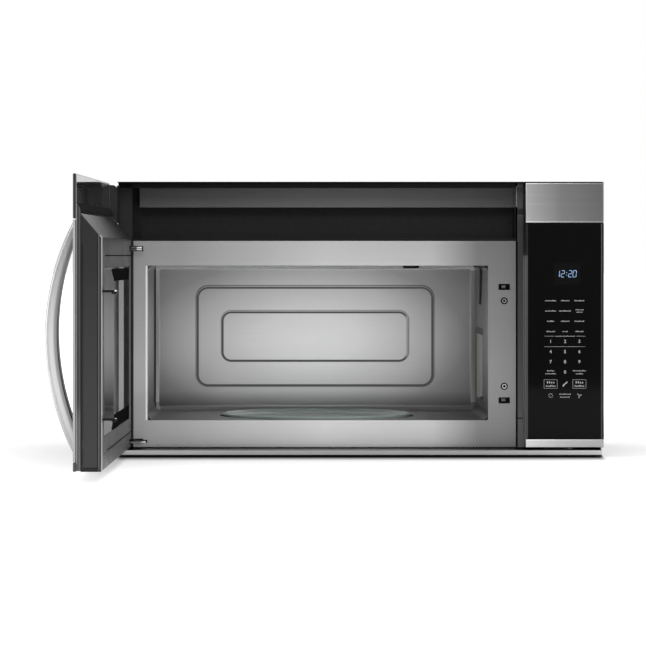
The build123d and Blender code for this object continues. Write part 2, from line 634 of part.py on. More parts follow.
# ================================================================ oven cavity
def cavity_tube():
    outer = rounded_bar_y(CAV_X0 - SHEET, CAV_X1 + SHEET, CAV_Z0 - SHEET, CAV_Z1 + SHEET,
                          CORNER + SHEET, PLATE_REAR, PAN_FRONT)
    inner = rounded_bar_y(CAV_X0, CAV_X1, CAV_Z0, CAV_Z1, CORNER, PLATE_REAR - CUT,
                          PAN_FRONT + CUT)
    return outer - inner


def below_seam():
    """Everything under the seam where the floor's turned-up edges meet the oven walls."""
    return box(LEFT, RIGHT, 0, BODY_DEPTH, 0, CAV_Z0 + CORNER + SEAM)


def cavity_wrap():
    wrap = cavity_tube() - below_seam()
    wrap -= box(CAV_X1 - CUT, CAV_X1 + CUT, COVER_Y[0] + PORT_MARGIN, COVER_Y[1] - PORT_MARGIN,
                COVER_Z[0] + PORT_MARGIN, COVER_Z[1] - PORT_MARGIN)
    for column in range(LAMP_GRID_COLUMNS):
        for row in range(LAMP_GRID_ROWS):
            y = LAMP_GRID_Y + (column - (LAMP_GRID_COLUMNS - 1) / 2) * LAMP_HOLE_PITCH
            z = LAMP_GRID_Z + (row - (LAMP_GRID_ROWS - 1) / 2) * LAMP_HOLE_PITCH
            wrap -= rod_x(LAMP_HOLE_R, CAV_X1 - CUT, CAV_X1 + CUT, y, z)
    return wrap - rod_z(SENSOR_STEM_R + FIT, SENSOR_X, SENSOR_Y, CAV_Z1 - CUT, CAV_Z1 + CUT)


def cavity_floor():
    """The floor sheet, edges turned up, with the round well that the roller ring runs in."""
    floor = cavity_tube() & below_seam()
    floor -= rod_z(WELL_RADIUS, CAV_XM, TABLE_Y, CAV_Z0 - CUT, CAV_Z0 + CUT)
    cup = rod_z(WELL_RADIUS + SHEET, CAV_XM, TABLE_Y, WELL_FLOOR - SHEET, CAV_Z0)
    cup -= rod_z(WELL_RADIUS, CAV_XM, TABLE_Y, WELL_FLOOR, CAV_Z0 + CUT)
    cup -= rod_z(SHAFT_RADIUS + SHAFT_HOLE_ROOM, CAV_XM, TABLE_Y, WELL_FLOOR - CUT,
                 WELL_FLOOR + CUT)
    return floor + cup


def groove(size):
    """A round-cornered ring that is cut into the back wall."""
    width, height, radius = size
    z = (CAV_Z0 + CAV_Z1) / 2 + GROOVE_LIFT
    rim = GROOVE_WIDTH
    outer = rounded_bar_y(CAV_XM - width / 2, CAV_XM + width / 2, z - height / 2, z + height / 2,
                          radius, CAV_BACK - CUT, CAV_BACK + GROOVE_DEPTH)
    inner = rounded_bar_y(CAV_XM - width / 2 + rim, CAV_XM + width / 2 - rim,
                          z - height / 2 + rim, z + height / 2 - rim,
                          radius - rim, CAV_BACK - 2 * CUT, CAV_BACK + GROOVE_DEPTH + CUT)
    return outer - inner


def cavity_back():
    outer = rounded_bar_y(CAV_X0 - SHEET, CAV_X1 + SHEET, CAV_Z0 - SHEET, CAV_Z1 + SHEET,
                          CORNER + SHEET, PAN_FRONT, CAV_BACK + BACK_SHEET)
    hollow = rounded_bar_y(CAV_X0, CAV_X1, CAV_Z0, CAV_Z1, CORNER, PAN_FRONT - 2 * CUT, CAV_BACK)
    hollow = fillet(hollow.faces().sort_by(Axis.Y)[-1].edges(), PAN_RADIUS)
    return outer - hollow - groove(GROOVE_OUTER) - groove(GROOVE_INNER)


def front_plate():
    """The oven front: plate, folds, raised lip, latch slots, screw holes, hinge notches."""
    plate = box(PLATE_X0, PLATE_X1, PLATE_Y, PLATE_REAR, PLATE_Z0, PLATE_Z1)
    plate += box(PLATE_X0, PLATE_X1, PLATE_Y, VENT_BACK - SHEET, PLATE_Z1 - SHEET, PLATE_Z1)
    plate += box(PLATE_X0, PLATE_X0 + SHEET, PLATE_Y, PLATE_Y + PLATE_SIDE_FOLD,
                 PLATE_Z0, PLATE_Z1)
    plate += rounded_bar_y(CAV_X0 - LIP_WIDTH, CAV_X1 + LIP_WIDTH, CAV_Z0 - LIP_WIDTH,
                           CAV_Z1 + LIP_WIDTH, CORNER + LIP_WIDTH, PLATE_Y - LIP_PROUD,
                           PLATE_REAR)
    plate -= rounded_bar_y(CAV_X0, CAV_X1, CAV_Z0, CAV_Z1, CORNER, PLATE_Y - CUT,
                           PLATE_REAR + CUT)
    half = SLOT_WIDTH / 2
    for z in SLOT_LEVELS:
        plate -= box(HOOK_X - half, HOOK_X + half, PLATE_Y - CUT, PLATE_REAR + CUT,
                     z, z + SLOT_HEIGHT)
    for z in SCREW_LEVELS:
        plate -= rod_y(JAMB_SCREW_SHANK_R + FIT, HOOK_X, PLATE_Y - CUT, PLATE_REAR + CUT, z)
    notch = HINGE_PLATE / 2 + HINGE_ROOM
    for z in HINGE_LEVELS:
        plate -= box(PLATE_X0 - CUT, HINGE_ARM_X1 + LAP, PLATE_Y - CUT,
                     PLATE_Y + PLATE_SIDE_FOLD + CUT, z - notch, z + notch)
    return plate


def waveguide_cover():
    cover = box(CAV_X1 - COVER_SHEET, CAV_X1, *COVER_Y, *COVER_Z)
    return chamfer(cover.edges().filter_by(Axis.X), COVER_CHAMFER)


def steam_sensor():
    cap = rod_z(SENSOR_R, SENSOR_X, SENSOR_Y, CAV_Z1 - SENSOR_HANG, CAV_Z1)
    cap = fillet(cap.faces().sort_by(Axis.Z)[0].edges(), SENSOR_ROUND)
    return cap + rod_z(SENSOR_STEM_R, SENSOR_X, SENSOR_Y, CAV_Z1 - LAP, CAV_Z1 + SENSOR_LENGTH)


def cavity_lamp():
    """The lamp box over the holes in the oven's right wall, with its socket."""
    depth, length, height = LAMP_BOX
    x0, x1 = BAY_X0, BAY_X0 + depth
    y0, y1 = LAMP_GRID_Y - length / 2, LAMP_GRID_Y + length / 2
    z0, z1 = LAMP_GRID_Z - height / 2, LAMP_GRID_Z + height / 2
    housing = box(x0, x1, y0, y1, z0, z1)
    housing -= box(x0 - CUT, x1 - SHEET, y0 + SHEET, y1 - SHEET, z0 + SHEET, z1 - SHEET)
    return housing + rod_x(LAMP_SOCKET_R, x1 - SHEET, x1 + LAMP_SOCKET_LENGTH,
                           LAMP_GRID_Y, LAMP_GRID_Z)


# ================================================================ turntable
def turntable_motor():
    top = WELL_FLOOR - SHEET
    reach, width, thick = MOTOR_EAR
    body = rod_z(MOTOR_RADIUS, CAV_XM, TABLE_Y, top - MOTOR_HEIGHT, top)
    ears = box(CAV_XM - MOTOR_RADIUS - reach, CAV_XM + MOTOR_RADIUS + reach,
               TABLE_Y - width / 2, TABLE_Y + width / 2, top - thick, top)
    bore = rod_z(SHAFT_RADIUS + PIN_CLEARANCE, CAV_XM, TABLE_Y,
                 top - MOTOR_HEIGHT + MOTOR_FLOOR, top + CUT)
    return body + ears - bore


def turntable_coupler():
    """The three-lobed driver under the tray, with its shaft down into the motor."""
    base = WELL_FLOOR + COUPLER_LIFT
    shaft_end = WELL_FLOOR - SHEET - MOTOR_HEIGHT + MOTOR_FLOOR + SHAFT_END_ROOM
    coupler = rod_z(SHAFT_RADIUS, CAV_XM, TABLE_Y, shaft_end, base + LAP)
    coupler += rod_z(HUB_R, CAV_XM, TABLE_Y, base, TRAY_BASE)
    for lobe in range(LOBE_COUNT):
        angle = math.radians(90 + 360 / LOBE_COUNT * lobe)
        x = CAV_XM + LOBE_OUT * math.cos(angle)
        y = TABLE_Y + LOBE_OUT * math.sin(angle)
        coupler += rod_z(LOBE_R, x, y, base, TRAY_BASE)
    return coupler


def turntable_tray():
    edge, bowl_edge, rim_edge = TRAY_ROUNDS
    top = TRAY_BASE + TRAY_GLASS + TRAY_RIM
    disc = rod_z(TRAY_RADIUS, CAV_XM, TABLE_Y, TRAY_BASE, top)
    disc = fillet(disc.faces().sort_by(Axis.Z)[0].edges(), edge)
    bowl = rod_z(TRAY_RADIUS - TRAY_RIM_WIDTH, CAV_XM, TABLE_Y, TRAY_BASE + TRAY_GLASS, top + CUT)
    bowl = fillet(bowl.faces().sort_by(Axis.Z)[0].edges(), bowl_edge)
    tray = disc - bowl
    return fillet(tray.faces().sort_by(Axis.Z)[-1].edges(), rim_edge)


def wheel_angles():
    return [90 + 360 / WHEEL_COUNT * number for number in range(WHEEL_COUNT)]


def roller_ring():
    """A flat ring with three pins, each with a head outside its wheel."""
    z0, z1 = WHEEL_Z - RING_THICK / 2, WHEEL_Z + RING_THICK / 2
    ring = rod_z(RING_OUTER, CAV_XM, TABLE_Y, z0, z1)
    ring -= rod_z(RING_OUTER - RING_BAR, CAV_XM, TABLE_Y, z0 - CUT, z1 + CUT)
    head_x = RING_OUTER + WHEEL_WIDTH + 2 * RUN_GAP
    for angle in wheel_angles():
        pin = rod_x(WHEEL_PIN_R, RING_OUTER - LAP, head_x + WHEEL_HEAD, 0, 0)
        head = rod_x(WHEEL_HEAD_R, head_x, head_x + WHEEL_HEAD, 0, 0)
        ring += Pos(CAV_XM, TABLE_Y, WHEEL_Z) * Rot(0, 0, angle) * (pin + head)
    return ring


def roller_wheel(angle):
    inner = RING_RADIUS - WHEEL_WIDTH / 2
    outer = RING_RADIUS + WHEEL_WIDTH / 2
    wheel = rod_x(WHEEL_RADIUS, inner, outer, 0, 0)
    wheel -= rod_x(WHEEL_PIN_R + PIN_CLEARANCE, inner - CUT, outer + CUT, 0, 0)
    return Pos(CAV_XM, TABLE_Y, WHEEL_Z) * Rot(0, 0, angle) * wheel


# ================================================================ vent
def vent_grille():
    """The black moulding above the oven: top rail, deflector band, ends and sill."""
    x0, x1, rear, wall = GRILLE_X0, PLATE_X1, VENT_BACK, BAND_WALL
    rail = box(x0, x1, GRILLE_Y, rear, BAND_TOP, TOP_INNER)
    band = box(BAND_X0, x1, BAND_SETBACK, BAND_SETBACK + wall, BAND_BOTTOM, BAND_TOP)
    shelf = box(BAND_X0, x1, BAND_SETBACK, rear, BAND_BOTTOM, BAND_BOTTOM + wall)
    cheek = box(BAND_X0, BAND_X0 + wall, BAND_SETBACK, rear, BAND_BOTTOM, BAND_TOP)
    left = box(x0, x0 + wall, GRILLE_Y, rear, VENT_SILL, BAND_TOP)
    end = box(x0, BAND_X0 + wall, rear - wall, rear, VENT_SILL, BAND_TOP)
    right = box(x1 - wall, x1, GRILLE_Y, rear, VENT_SILL, BAND_TOP)
    sill = box(x0, x1, GRILLE_Y, rear, PLATE_Z1, VENT_SILL)
    return rail + band + shelf + cheek + left + end + right + sill


def charcoal_filter():
    return box(BAND_X0, PLATE_X1, VENT_BACK, VENT_BACK + CHARCOAL_THICK,
               PLATE_Z1, BAND_BOTTOM + CHARCOAL_LAP)


def blower_ends():
    """The X ranges of the left and right scroll casings."""
    half = BLOWER_MOTOR_LENGTH / 2 + SCROLL_GAP
    length = BLOWER_LENGTH + 2 * SCROLL_GAP
    return (CAV_XM - half - length, CAV_XM - half), (CAV_XM + half, CAV_XM + half + length)


def scroll(x0, x1):
    """One scroll casing with a forward outlet and a round inlet in each end wall."""
    wall = SCROLL_WALL
    outlet_y = SCROLL_FRONT - SCROLL_MOUTH
    low, high = BLOWER_Z + SCROLL_LOW, BLOWER_Z + SCROLL_R
    casing = rod_x(SCROLL_R + wall, x0, x1, BLOWER_Y, BLOWER_Z)
    casing += box(x0, x1, outlet_y, BLOWER_Y, low, high + wall)
    inside = rod_x(SCROLL_R, x0 + wall, x1 - wall, BLOWER_Y, BLOWER_Z)
    inside += box(x0 + wall, x1 - wall, outlet_y - CUT, BLOWER_Y, low + wall, high)
    inlet = rod_x(BLOWER_RADIUS - INLET_STEP, x0 - CUT, x1 + CUT, BLOWER_Y, BLOWER_Z)
    return casing - inside - inlet


def blower_housing():
    """Two scrolls, the bridge between their outlets, and the hanger to the body top."""
    left, right = blower_ends()
    bridge = box(left[1] - LAP, right[0] + LAP, SCROLL_FRONT - BRIDGE[0],
                 SCROLL_FRONT - BRIDGE[1], BLOWER_Z + SCROLL_LOW, BLOWER_Z + BLOWER_RADIUS)
    hanger = box(left[0], right[1], SCROLL_FRONT - HANGER[0], SCROLL_FRONT - HANGER[1],
                 BLOWER_Z + SCROLL_R + SCROLL_WALL / 2, TOP_INNER)
    return scroll(*left) + scroll(*right) + bridge + hanger


def blower_wheel(x0, x1):
    """A forward curved wheel: a middle disc, an end ring each side, blades between them."""
    middle = (x0 + x1) / 2
    disc = WHEEL_DISC
    wheel = rod_x(BLOWER_RADIUS, middle - disc / 2, middle + disc / 2, BLOWER_Y, BLOWER_Z)
    for end in (x0, x1 - disc):
        ring = rod_x(BLOWER_RADIUS, end, end + disc, BLOWER_Y, BLOWER_Z)
        wheel += ring - rod_x(BLOWER_RADIUS - WHEEL_RING, end - CUT, end + disc + CUT,
                              BLOWER_Y, BLOWER_Z)
    blade = Rot(BLADE_TILT, 0, 0) * Box(x1 - x0 - LAP, *BLADE)
    blade = Pos(middle, 0, BLOWER_RADIUS - BLADE_INSET) * blade
    for number in range(BLOWER_BLADES):
        wheel += Pos(0, BLOWER_Y, BLOWER_Z) * Rot(360 / BLOWER_BLADES * number, 0, 0) * blade
    wheel += rod_x(BLOWER_SHAFT_R + WHEEL_HUB, middle - WHEEL_HUB_LENGTH / 2,
                   middle + WHEEL_HUB_LENGTH / 2, BLOWER_Y, BLOWER_Z)
    return wheel - rod_x(BLOWER_SHAFT_R, x0 - CUT, x1 + CUT, BLOWER_Y, BLOWER_Z)


def blower_shaft():
    left, right = blower_ends()
    x0 = (left[0] + left[1]) / 2 - BLOWER_SHAFT_END
    x1 = (right[0] + right[1]) / 2 + BLOWER_SHAFT_END
    return rod_x(BLOWER_SHAFT_R, x0, x1, BLOWER_Y, BLOWER_Z)


def blower_motor():
    """The motor between the wheels, with a foot on the housing's bridge."""
    half = BLOWER_MOTOR_LENGTH / 2
    width, height, thick = BLOWER_FOOT
    motor = rod_x(BLOWER_MOTOR_R, CAV_XM - half, CAV_XM + half, BLOWER_Y, BLOWER_Z)
    motor += box(CAV_XM - width / 2, CAV_XM + width / 2, SCROLL_FRONT - BRIDGE[1],
                 BLOWER_Y - BLOWER_MOTOR_R / 2, BLOWER_Z + height, BLOWER_Z + height + thick)
    return motor - rod_x(BLOWER_SHAFT_R + PIN_CLEARANCE, CAV_XM - half - CUT,
                         CAV_XM + half + CUT, BLOWER_Y, BLOWER_Z)


# ================================================================ component bay
def waveguide():
    x0, x1 = BAY_X0, BAY_X0 + GUIDE_WIDTH
    y0, y1 = COVER_Y[0] + GUIDE_INSET, COVER_Y[1] - GUIDE_INSET
    z0, z1 = COVER_Z[0] + GUIDE_INSET, COVER_Z[1] - GUIDE_INSET
    wall = GUIDE_WALL
    guide = box(x0, x1, y0, y1, z0, z1)
    guide -= box(x0 - CUT, x1 - wall, y0 + wall, y1 - wall, z0 + wall, z1 - wall)
    return guide - rod_x(ANTENNA_R + ANTENNA_ROOM, x1 - CUT, x1 + CUT, MAGNETRON_Y, MAGNETRON_Z)


def magnetron():
    """An open yoke round the finned anode, with the antenna into the waveguide."""
    width, depth, height = MAGNETRON
    left, right, ends = YOKE_WALLS
    x0 = BAY_X0 + GUIDE_WIDTH
    x1 = x0 + width
    y0, y1 = MAGNETRON_Y - depth / 2, MAGNETRON_Y + depth / 2
    z0, z1 = MAGNETRON_Z - height / 2, MAGNETRON_Z + height / 2
    tube = box(x0, x1, y0, y1, z0, z1)
    tube -= box(x0 + left, x1 - right, y0 - CUT, y1 + CUT, z0 + ends, z1 - ends)
    tube += rod_x(ANODE_R, x0 + LAP, x1 - LAP, MAGNETRON_Y, MAGNETRON_Z)
    for number in range(FIN_COUNT):
        fin_x = x0 + FIN_START + number * FIN_PITCH
        tube += box(fin_x, fin_x + FIN_SHEET, y0 + FIN_INSET, y1 - FIN_INSET, z0 + LAP, z1 - LAP)
    return tube + rod_x(ANTENNA_R, x0 - ANTENNA_LENGTH, x0 + LAP, MAGNETRON_Y, MAGNETRON_Z)


def high_voltage_transformer():
    """A laminated core with two windings, one above the other."""
    width, depth, height = TRANSFORMER
    x0, y0, z0 = BAY_XM - width / 2, REAR_INNER - depth - TRANSFORMER_REAR, SHEET
    core = box(x0, x0 + width, y0 + CORE_INSET, y0 + depth - CORE_INSET, z0, z0 + height)
    coil = box(x0 + COIL_INSET, x0 + width - COIL_INSET, y0, y0 + depth,
               z0 + COIL_LOW, z0 + COIL_LOW + COIL_HEIGHT)
    coil = fillet(coil.edges().filter_by(Axis.Z), COIL_ROUND)
    return core + coil + Pos(0, 0, COIL_STEP) * coil


def high_voltage_capacitor():
    width, depth, height = CAPACITOR
    section = Pos(BAY_XM, CAPACITOR_Y) * RectangleRounded(width, depth, CAPACITOR_ROUND)
    can = extrude(Plane.XY.offset(SHEET) * section, height)
    thick, deep, tall = TERMINAL
    top = SHEET + height
    for side in (-1, 1):
        x = BAY_XM + side * TERMINAL_SPREAD / 2
        can += box(x - thick / 2, x + thick / 2, CAPACITOR_Y - deep / 2, CAPACITOR_Y + deep / 2,
                   top - LAP, top + tall)
    return can


def line_filter_board():
    """The board on the right wall, on four posts, with a row of parts facing the bay."""
    length, height = LINE_BOARD
    x1 = RIGHT - SHEET - LINE_BOARD_STAND
    y0, z0 = LINE_BOARD_Y, LINE_BOARD_Z
    board = box(x1 - BOARD_SHEET, x1, y0, y0 + length, z0, z0 + height)
    reach, long, tall = LINE_PART
    for number in range(LINE_PARTS):
        y = y0 + LINE_PART_START[0] + number * LINE_PART_PITCH
        z = z0 + LINE_PART_START[1]
        board += box(x1 - reach, x1 - LAP, y, y + long, z, z + tall)
    for y in (y0 + POST_SIDE, y0 + length - POST_SIDE):
        for z in (z0 + POST_SIDE, z0 + height - POST_SIDE):
            board += rod_x(POST_R, x1 - LAP, RIGHT - SHEET, y, z)
    return board


def cooling_fan_frame():
    """A square frame with a cross bar that carries the motor, on two legs."""
    half = FAN_SIZE / 2
    x0, x1 = BAY_XM - half, BAY_XM + half
    z0, z1 = FAN_Z - half, FAN_Z + half
    frame = box(x0, x1, FAN_Y, FAN_Y + FAN_DEPTH, z0, z1)
    frame -= rod_y(FAN_RADIUS + FAN_TIP_ROOM, BAY_XM, FAN_Y - CUT, FAN_Y + FAN_DEPTH + CUT, FAN_Z)
    bar_height, bar_sheet = FAN_BAR
    frame += box(x0 + FAN_BAR_INSET, x1 - FAN_BAR_INSET, FAN_Y, FAN_Y + bar_sheet,
                 FAN_Z - bar_height / 2, FAN_Z + bar_height / 2)
    size, depth = FAN_MOTOR
    frame += box(BAY_XM - size / 2, BAY_XM + size / 2, FAN_Y - depth, FAN_Y + LAP,
                 FAN_Z - size / 2, FAN_Z + size / 2)
    leg, leg_depth = FAN_LEG
    for leg_x in (x0 + FAN_LEG_INSET, x1 - FAN_LEG_INSET - leg):
        frame += box(leg_x, leg_x + leg, FAN_Y + leg_depth, FAN_Y + 2 * leg_depth,
                     SHEET, z0 + LAP)
    return frame - rod_y(FAN_SHAFT_R + PIN_CLEARANCE, BAY_XM, FAN_Y - FAN_SHAFT_BACK - LAP,
                         FAN_Y + FAN_DEPTH, FAN_Z)


def cooling_fan_blade():
    y0 = FAN_Y + FAN_HUB_GAP
    fan = rod_y(FAN_HUB_R, BAY_XM, y0, y0 + FAN_HUB_LENGTH, FAN_Z)
    blade = Rot(0, 0, FAN_BLADE_TILT) * Box(*FAN_BLADE)
    blade = Pos(0, y0 + FAN_HUB_LENGTH / 2, FAN_BLADE_OUT) * blade
    for number in range(FAN_BLADES):
        fan += Pos(BAY_XM, 0, FAN_Z) * Rot(0, 360 / FAN_BLADES * number, 0) * blade
    return fan + rod_y(FAN_SHAFT_R, BAY_XM, FAN_Y - FAN_SHAFT_BACK, y0 + LAP, FAN_Z)


# ================================================================ door latch switches
def interlock_plunger(z):
    width, length, height = PLUNGER
    rear = PLUNGER_Y + length + PLUNGER_TRAVEL + PLUNGER_SEAT
    return box(HOOK_X - width / 2, HOOK_X + width / 2, PLUNGER_Y, rear,
               z - height / 2, z + height / 2)


def interlock_switch(z):
    width, depth, height = SWITCH
    body = box(HOOK_X - width / 2, HOOK_X + width / 2, SWITCH_Y, SWITCH_Y + depth,
               z - height / 2, z + height / 2)
    room = PLUNGER[0] / 2 + RUN_GAP
    tall = PLUNGER[2] / 2 + RUN_GAP
    bore_end = SWITCH_Y + 2 * PLUNGER_TRAVEL + PLUNGER_SEAT + RUN_GAP
    return body - box(HOOK_X - room, HOOK_X + room, SWITCH_Y - CUT, bore_end, z - tall, z + tall)


def interlock_bracket():
    """A plastic channel behind the latch slots with a pocket for each switch."""
    width, depth, height = SWITCH
    x0, x1 = HOOK_X - width / 2 - BRACKET_WALL, HOOK_X + width / 2 + BRACKET_WALL
    y0, y1 = PLATE_REAR, SWITCH_Y + depth
    upper, lower = SLOT_MIDDLES
    frame = box(x0, x1, y0, y1, lower - height / 2 - BRACKET_END, upper + height / 2 + BRACKET_END)
    return frame - box(x0 + BRACKET_WALL, x1 - BRACKET_WALL, y0 - CUT, y1 + CUT,
                       lower - height / 2, upper + height / 2)


def screw(z):
    head = rod_y(JAMB_SCREW_R, HOOK_X, PLATE_Y - JAMB_SCREW_HEAD, PLATE_Y, z)
    head = fillet(front_edges(head), JAMB_SCREW_ROUND)
    return head + rod_y(JAMB_SCREW_SHANK_R, HOOK_X, PLATE_Y - JAMB_SCREW_HEAD / 2, PLATE_REAR, z)


# ================================================================ control panel
def display_span():
    middle = (PANEL_LEFT + RIGHT) / 2 + DISPLAY_OFFSET
    return middle - DISPLAY_WIDTH / 2, middle + DISPLAY_WIDTH / 2


def display_rise():
    middle = GLASS_TOP - DISPLAY_DROP
    return middle - DISPLAY_HEIGHT / 2, middle + DISPLAY_HEIGHT / 2


def panel_frame():
    """The moulded box behind the control glass, with a flange beside the oven front."""
    wall = PANEL_WALL
    rear = PLATE_Y + PANEL_REAR_SHEET
    shell = box(PANEL_LEFT, RIGHT, GLASS, PLATE_Y, FRONT_BOTTOM, FRONT_TOP)
    shell -= box(PANEL_LEFT + wall, RIGHT - wall, GLASS + wall, PLATE_Y + CUT,
                 FRONT_BOTTOM + wall, FRONT_TOP - wall)
    shell -= box(*display_span(), GLASS - CUT, GLASS + wall + CUT, *display_rise())
    shell += box(PANEL_LEFT - PANEL_FLANGE, PANEL_LEFT + wall, PLATE_Y, rear, PLATE_Z0, FRONT_TOP)
    back = box(PANEL_LEFT + wall, RIGHT - SHEET, PLATE_Y, rear, FRONT_BOTTOM, FRONT_TOP)
    rim = PANEL_REAR_RIM
    back -= box(PANEL_LEFT + rim, RIGHT - rim, PLATE_Y - CUT, rear + CUT,
                FRONT_BOTTOM + PANEL_REAR_SILL, FRONT_TOP - PANEL_REAR_HEAD)
    return shell + back


def panel_top_block():
    """A stainless cap over the top of the control panel."""
    cap = box(PANEL_LEFT, RIGHT, 0, GLASS, BAND_BASE, FRONT_TOP)
    return chamfer(front_edges(cap), BLOCK_BEVEL)


def panel_glass():
    pane = box(PANEL_LEFT + GLASS_INSET, RIGHT, GLASS_SETBACK, GLASS, GLASS_BASE, GLASS_TOP)
    return chamfer(front_edges(pane), GLASS_EDGE)


def panel_bottom_strip():
    strip = box(PANEL_LEFT, RIGHT, 0, GLASS, FRONT_BOTTOM, FRONT_BOTTOM + STRIP_HEIGHT)
    return chamfer(front_edges(strip), STRIP_BEVEL)


def control_board():
    """The board behind the glass, with the display module and two tall parts."""
    x0, x1 = PANEL_LEFT + BOARD_SIDE, RIGHT - BOARD_SIDE
    z0, z1 = GLASS_BASE + BOARD_END, GLASS_TOP - BOARD_END
    rear = BOARD_Y + BOARD_SHEET
    board = box(x0, x1, BOARD_Y, rear, z0, z1)
    span, rise = display_span(), display_rise()
    board += box(span[0] + DISPLAY_ROOM, span[1] - DISPLAY_ROOM, GLASS + RUN_GAP, BOARD_Y + LAP,
                 rise[0] + DISPLAY_ROOM, rise[1] - DISPLAY_ROOM)
    for x in (x0 + POST_SIDE, x1 - POST_SIDE):
        for z in (z0 + POST_END, z1 - POST_END):
            board += rod_y(POST_R, x, GLASS + PANEL_WALL, BOARD_Y + LAP / 2, z)
    width, depth, height = RELAY
    relay_x, relay_z = x0 + RELAY_CORNER[0], z0 + RELAY_CORNER[1]
    board += box(relay_x, relay_x + width, BOARD_Y + LAP, rear + depth, relay_z, relay_z + height)
    width, depth, height = BLOCK_PART
    block_x, block_z = x1 - BLOCK_CORNER[0] - width, z0 + BLOCK_CORNER[1]
    return board + box(block_x, block_x + width, BOARD_Y + LAP, rear + depth,
                       block_z, block_z + height)


# ================================================================ underside
def grease_filter(x):
    half_x, half_y = FILTER_WIDTH / 2, FILTER_LENGTH / 2
    z0, z1 = FILTER_Z0, FILTER_Z0 + FILTER_THICK
    y0, y1 = FILTER_Y - half_y, FILTER_Y + half_y
    rim = FILTER_FRAME
    frame = box(x - half_x, x + half_x, y0, y1, z0, z1)
    frame -= box(x - half_x + rim, x + half_x - rim, y0 + rim, y1 - rim, z0 - CUT, z1 + CUT)
    core = rim - LAP
    return frame + box(x - half_x + core, x + half_x - core, y0 + core, y1 - core,
                       z0 + FILTER_MESH_INSET, z1 - FILTER_MESH_INSET)


def cooktop_lamp_lens():
    half_x, half_y = LENS_WIDTH / 2, LENS_LENGTH / 2
    pane = box(CAV_XM - half_x, CAV_XM + half_x, LENS_Y - half_y, LENS_Y + half_y, 0, SHEET)
    return pane + box(CAV_XM - half_x - LENS_RIM, CAV_XM + half_x + LENS_RIM,
                      LENS_Y - half_y - LENS_RIM, LENS_Y + half_y + LENS_RIM,
                      SHEET, SHEET + LENS_RIM_THICK)


def cooktop_lamp(x):
    size, tall = LAMP_HOLDER
    radius, bulb = LAMP_BULB
    z0 = SHEET + LENS_RIM_THICK
    holder = box(x - size / 2, x + size / 2, LENS_Y - size / 2, LENS_Y + size / 2, z0, z0 + tall)
    return holder + rod_z(radius, x, LENS_Y, z0 + tall - LAP, z0 + tall + bulb)


# ================================================================ hinges
def hinge(z, tab_up):
    """A cranked arm from behind the oven front, with a pin that stands up into the door."""
    z0, z1 = z - HINGE_PLATE / 2, z + HINGE_PLATE / 2
    arm = rod_z(HINGE_LOBE, HINGE_X, HINGE_Y, z0, z1)
    arm += box(HINGE_X, HINGE_ARM_X1, HINGE_Y - HINGE_LOBE, HINGE_Y + HINGE_LOBE - LAP, z0, z1)
    arm += box(HINGE_ARM_X0, HINGE_ARM_X1, HINGE_Y - HINGE_LOBE, PLATE_REAR + HINGE_ARM_DEPTH,
               z0, z1)
    tab = (z0, z1 + HINGE_TAB) if tab_up else (z0 - HINGE_TAB, z1)
    arm += box(HINGE_ARM_X0, HINGE_ARM_X1, PLATE_REAR, PLATE_REAR + HINGE_TAB_SHEET, *tab)
    return arm + rod_z(HINGE_PIN_R, HINGE_X, HINGE_Y, z, z1 + HINGE_PIN_LENGTH)


# ================================================================ door, drawn closed
def door_glass():
    pane = box(LEFT, DOOR_RIGHT, 0, GLASS, GLASS_BASE, GLASS_TOP)
    return chamfer(front_edges(pane), GLASS_EDGE)


def door_top_strip():
    """The stainless band, folded over the top and both ends of its backing."""
    strip = box(LEFT, DOOR_RIGHT, 0, BLOCK_SHEET, BAND_BASE, FRONT_TOP)
    strip += box(LEFT, DOOR_RIGHT, 0, GLASS, FRONT_TOP - BLOCK_SHEET, FRONT_TOP)
    for x in (LEFT, DOOR_RIGHT - BLOCK_SHEET):
        strip += box(x, x + BLOCK_SHEET, 0, GLASS, BAND_BASE, FRONT_TOP)
    return chamfer(front_edges(strip), STRIP_BEVEL)


def door_bottom_strip():
    strip = box(LEFT, DOOR_RIGHT, 0, GLASS, FRONT_BOTTOM, FRONT_BOTTOM + STRIP_HEIGHT)
    return chamfer(front_edges(strip), STRIP_BEVEL)


def slope_height(depth):
    """Height of the inner moulding's sloping top at a depth."""
    return DOOR_TOP_INNER + SLOPE_RISE * (DOOR_THICK - depth) / (DOOR_THICK - FRAME_REAR)


def door_section(x0, x1, outline):
    """A length along X of a section that is drawn in Y and Z."""
    plane = Plane(origin=(x0, 0, 0), x_dir=(0, 1, 0), z_dir=(1, 0, 0))
    return extrude(plane * make_face(outline), x1 - x0)


def backing_cove(x0, x1):
    """The rounded foot of the band's backing, out to the depth of the frame."""
    low, foot, head = BAND_BASE - LAP, BAND_BASE + COVE_FOOT, BAND_BASE + COVE_HEAD
    bend = TangentArc((FRAME_REAR, foot), (GLASS + BACKING, head), tangent=(0, 1))
    sides = Polyline((GLASS + BACKING, head), (GLASS, head), (GLASS, low), (FRAME_REAR, low),
                     (FRAME_REAR, foot))
    return door_section(x0, x1, Curve() + [bend, sides])


def backing_end_rib(x0):
    """The rib across the band's backing at the hinge end, down to the sloping top."""
    top = FRONT_TOP - BLOCK_SHEET - END_RIB_DROP
    low = slope_height(FRAME_REAR) + RUN_GAP
    outline = Polyline((GLASS, low), (FRAME_REAR, low),
                       (END_RIB_DEPTH, slope_height(END_RIB_DEPTH) + RUN_GAP),
                       (END_RIB_DEPTH, top), (GLASS, top), close=True)
    rib = door_section(x0, x0 + END_RIB_SHEET, outline)
    corner = rib.edges().filter_by(Axis.X).group_by(Axis.Z)[-1].sort_by(Axis.Y)[-1]
    return fillet(corner, END_RIB_ROUND)


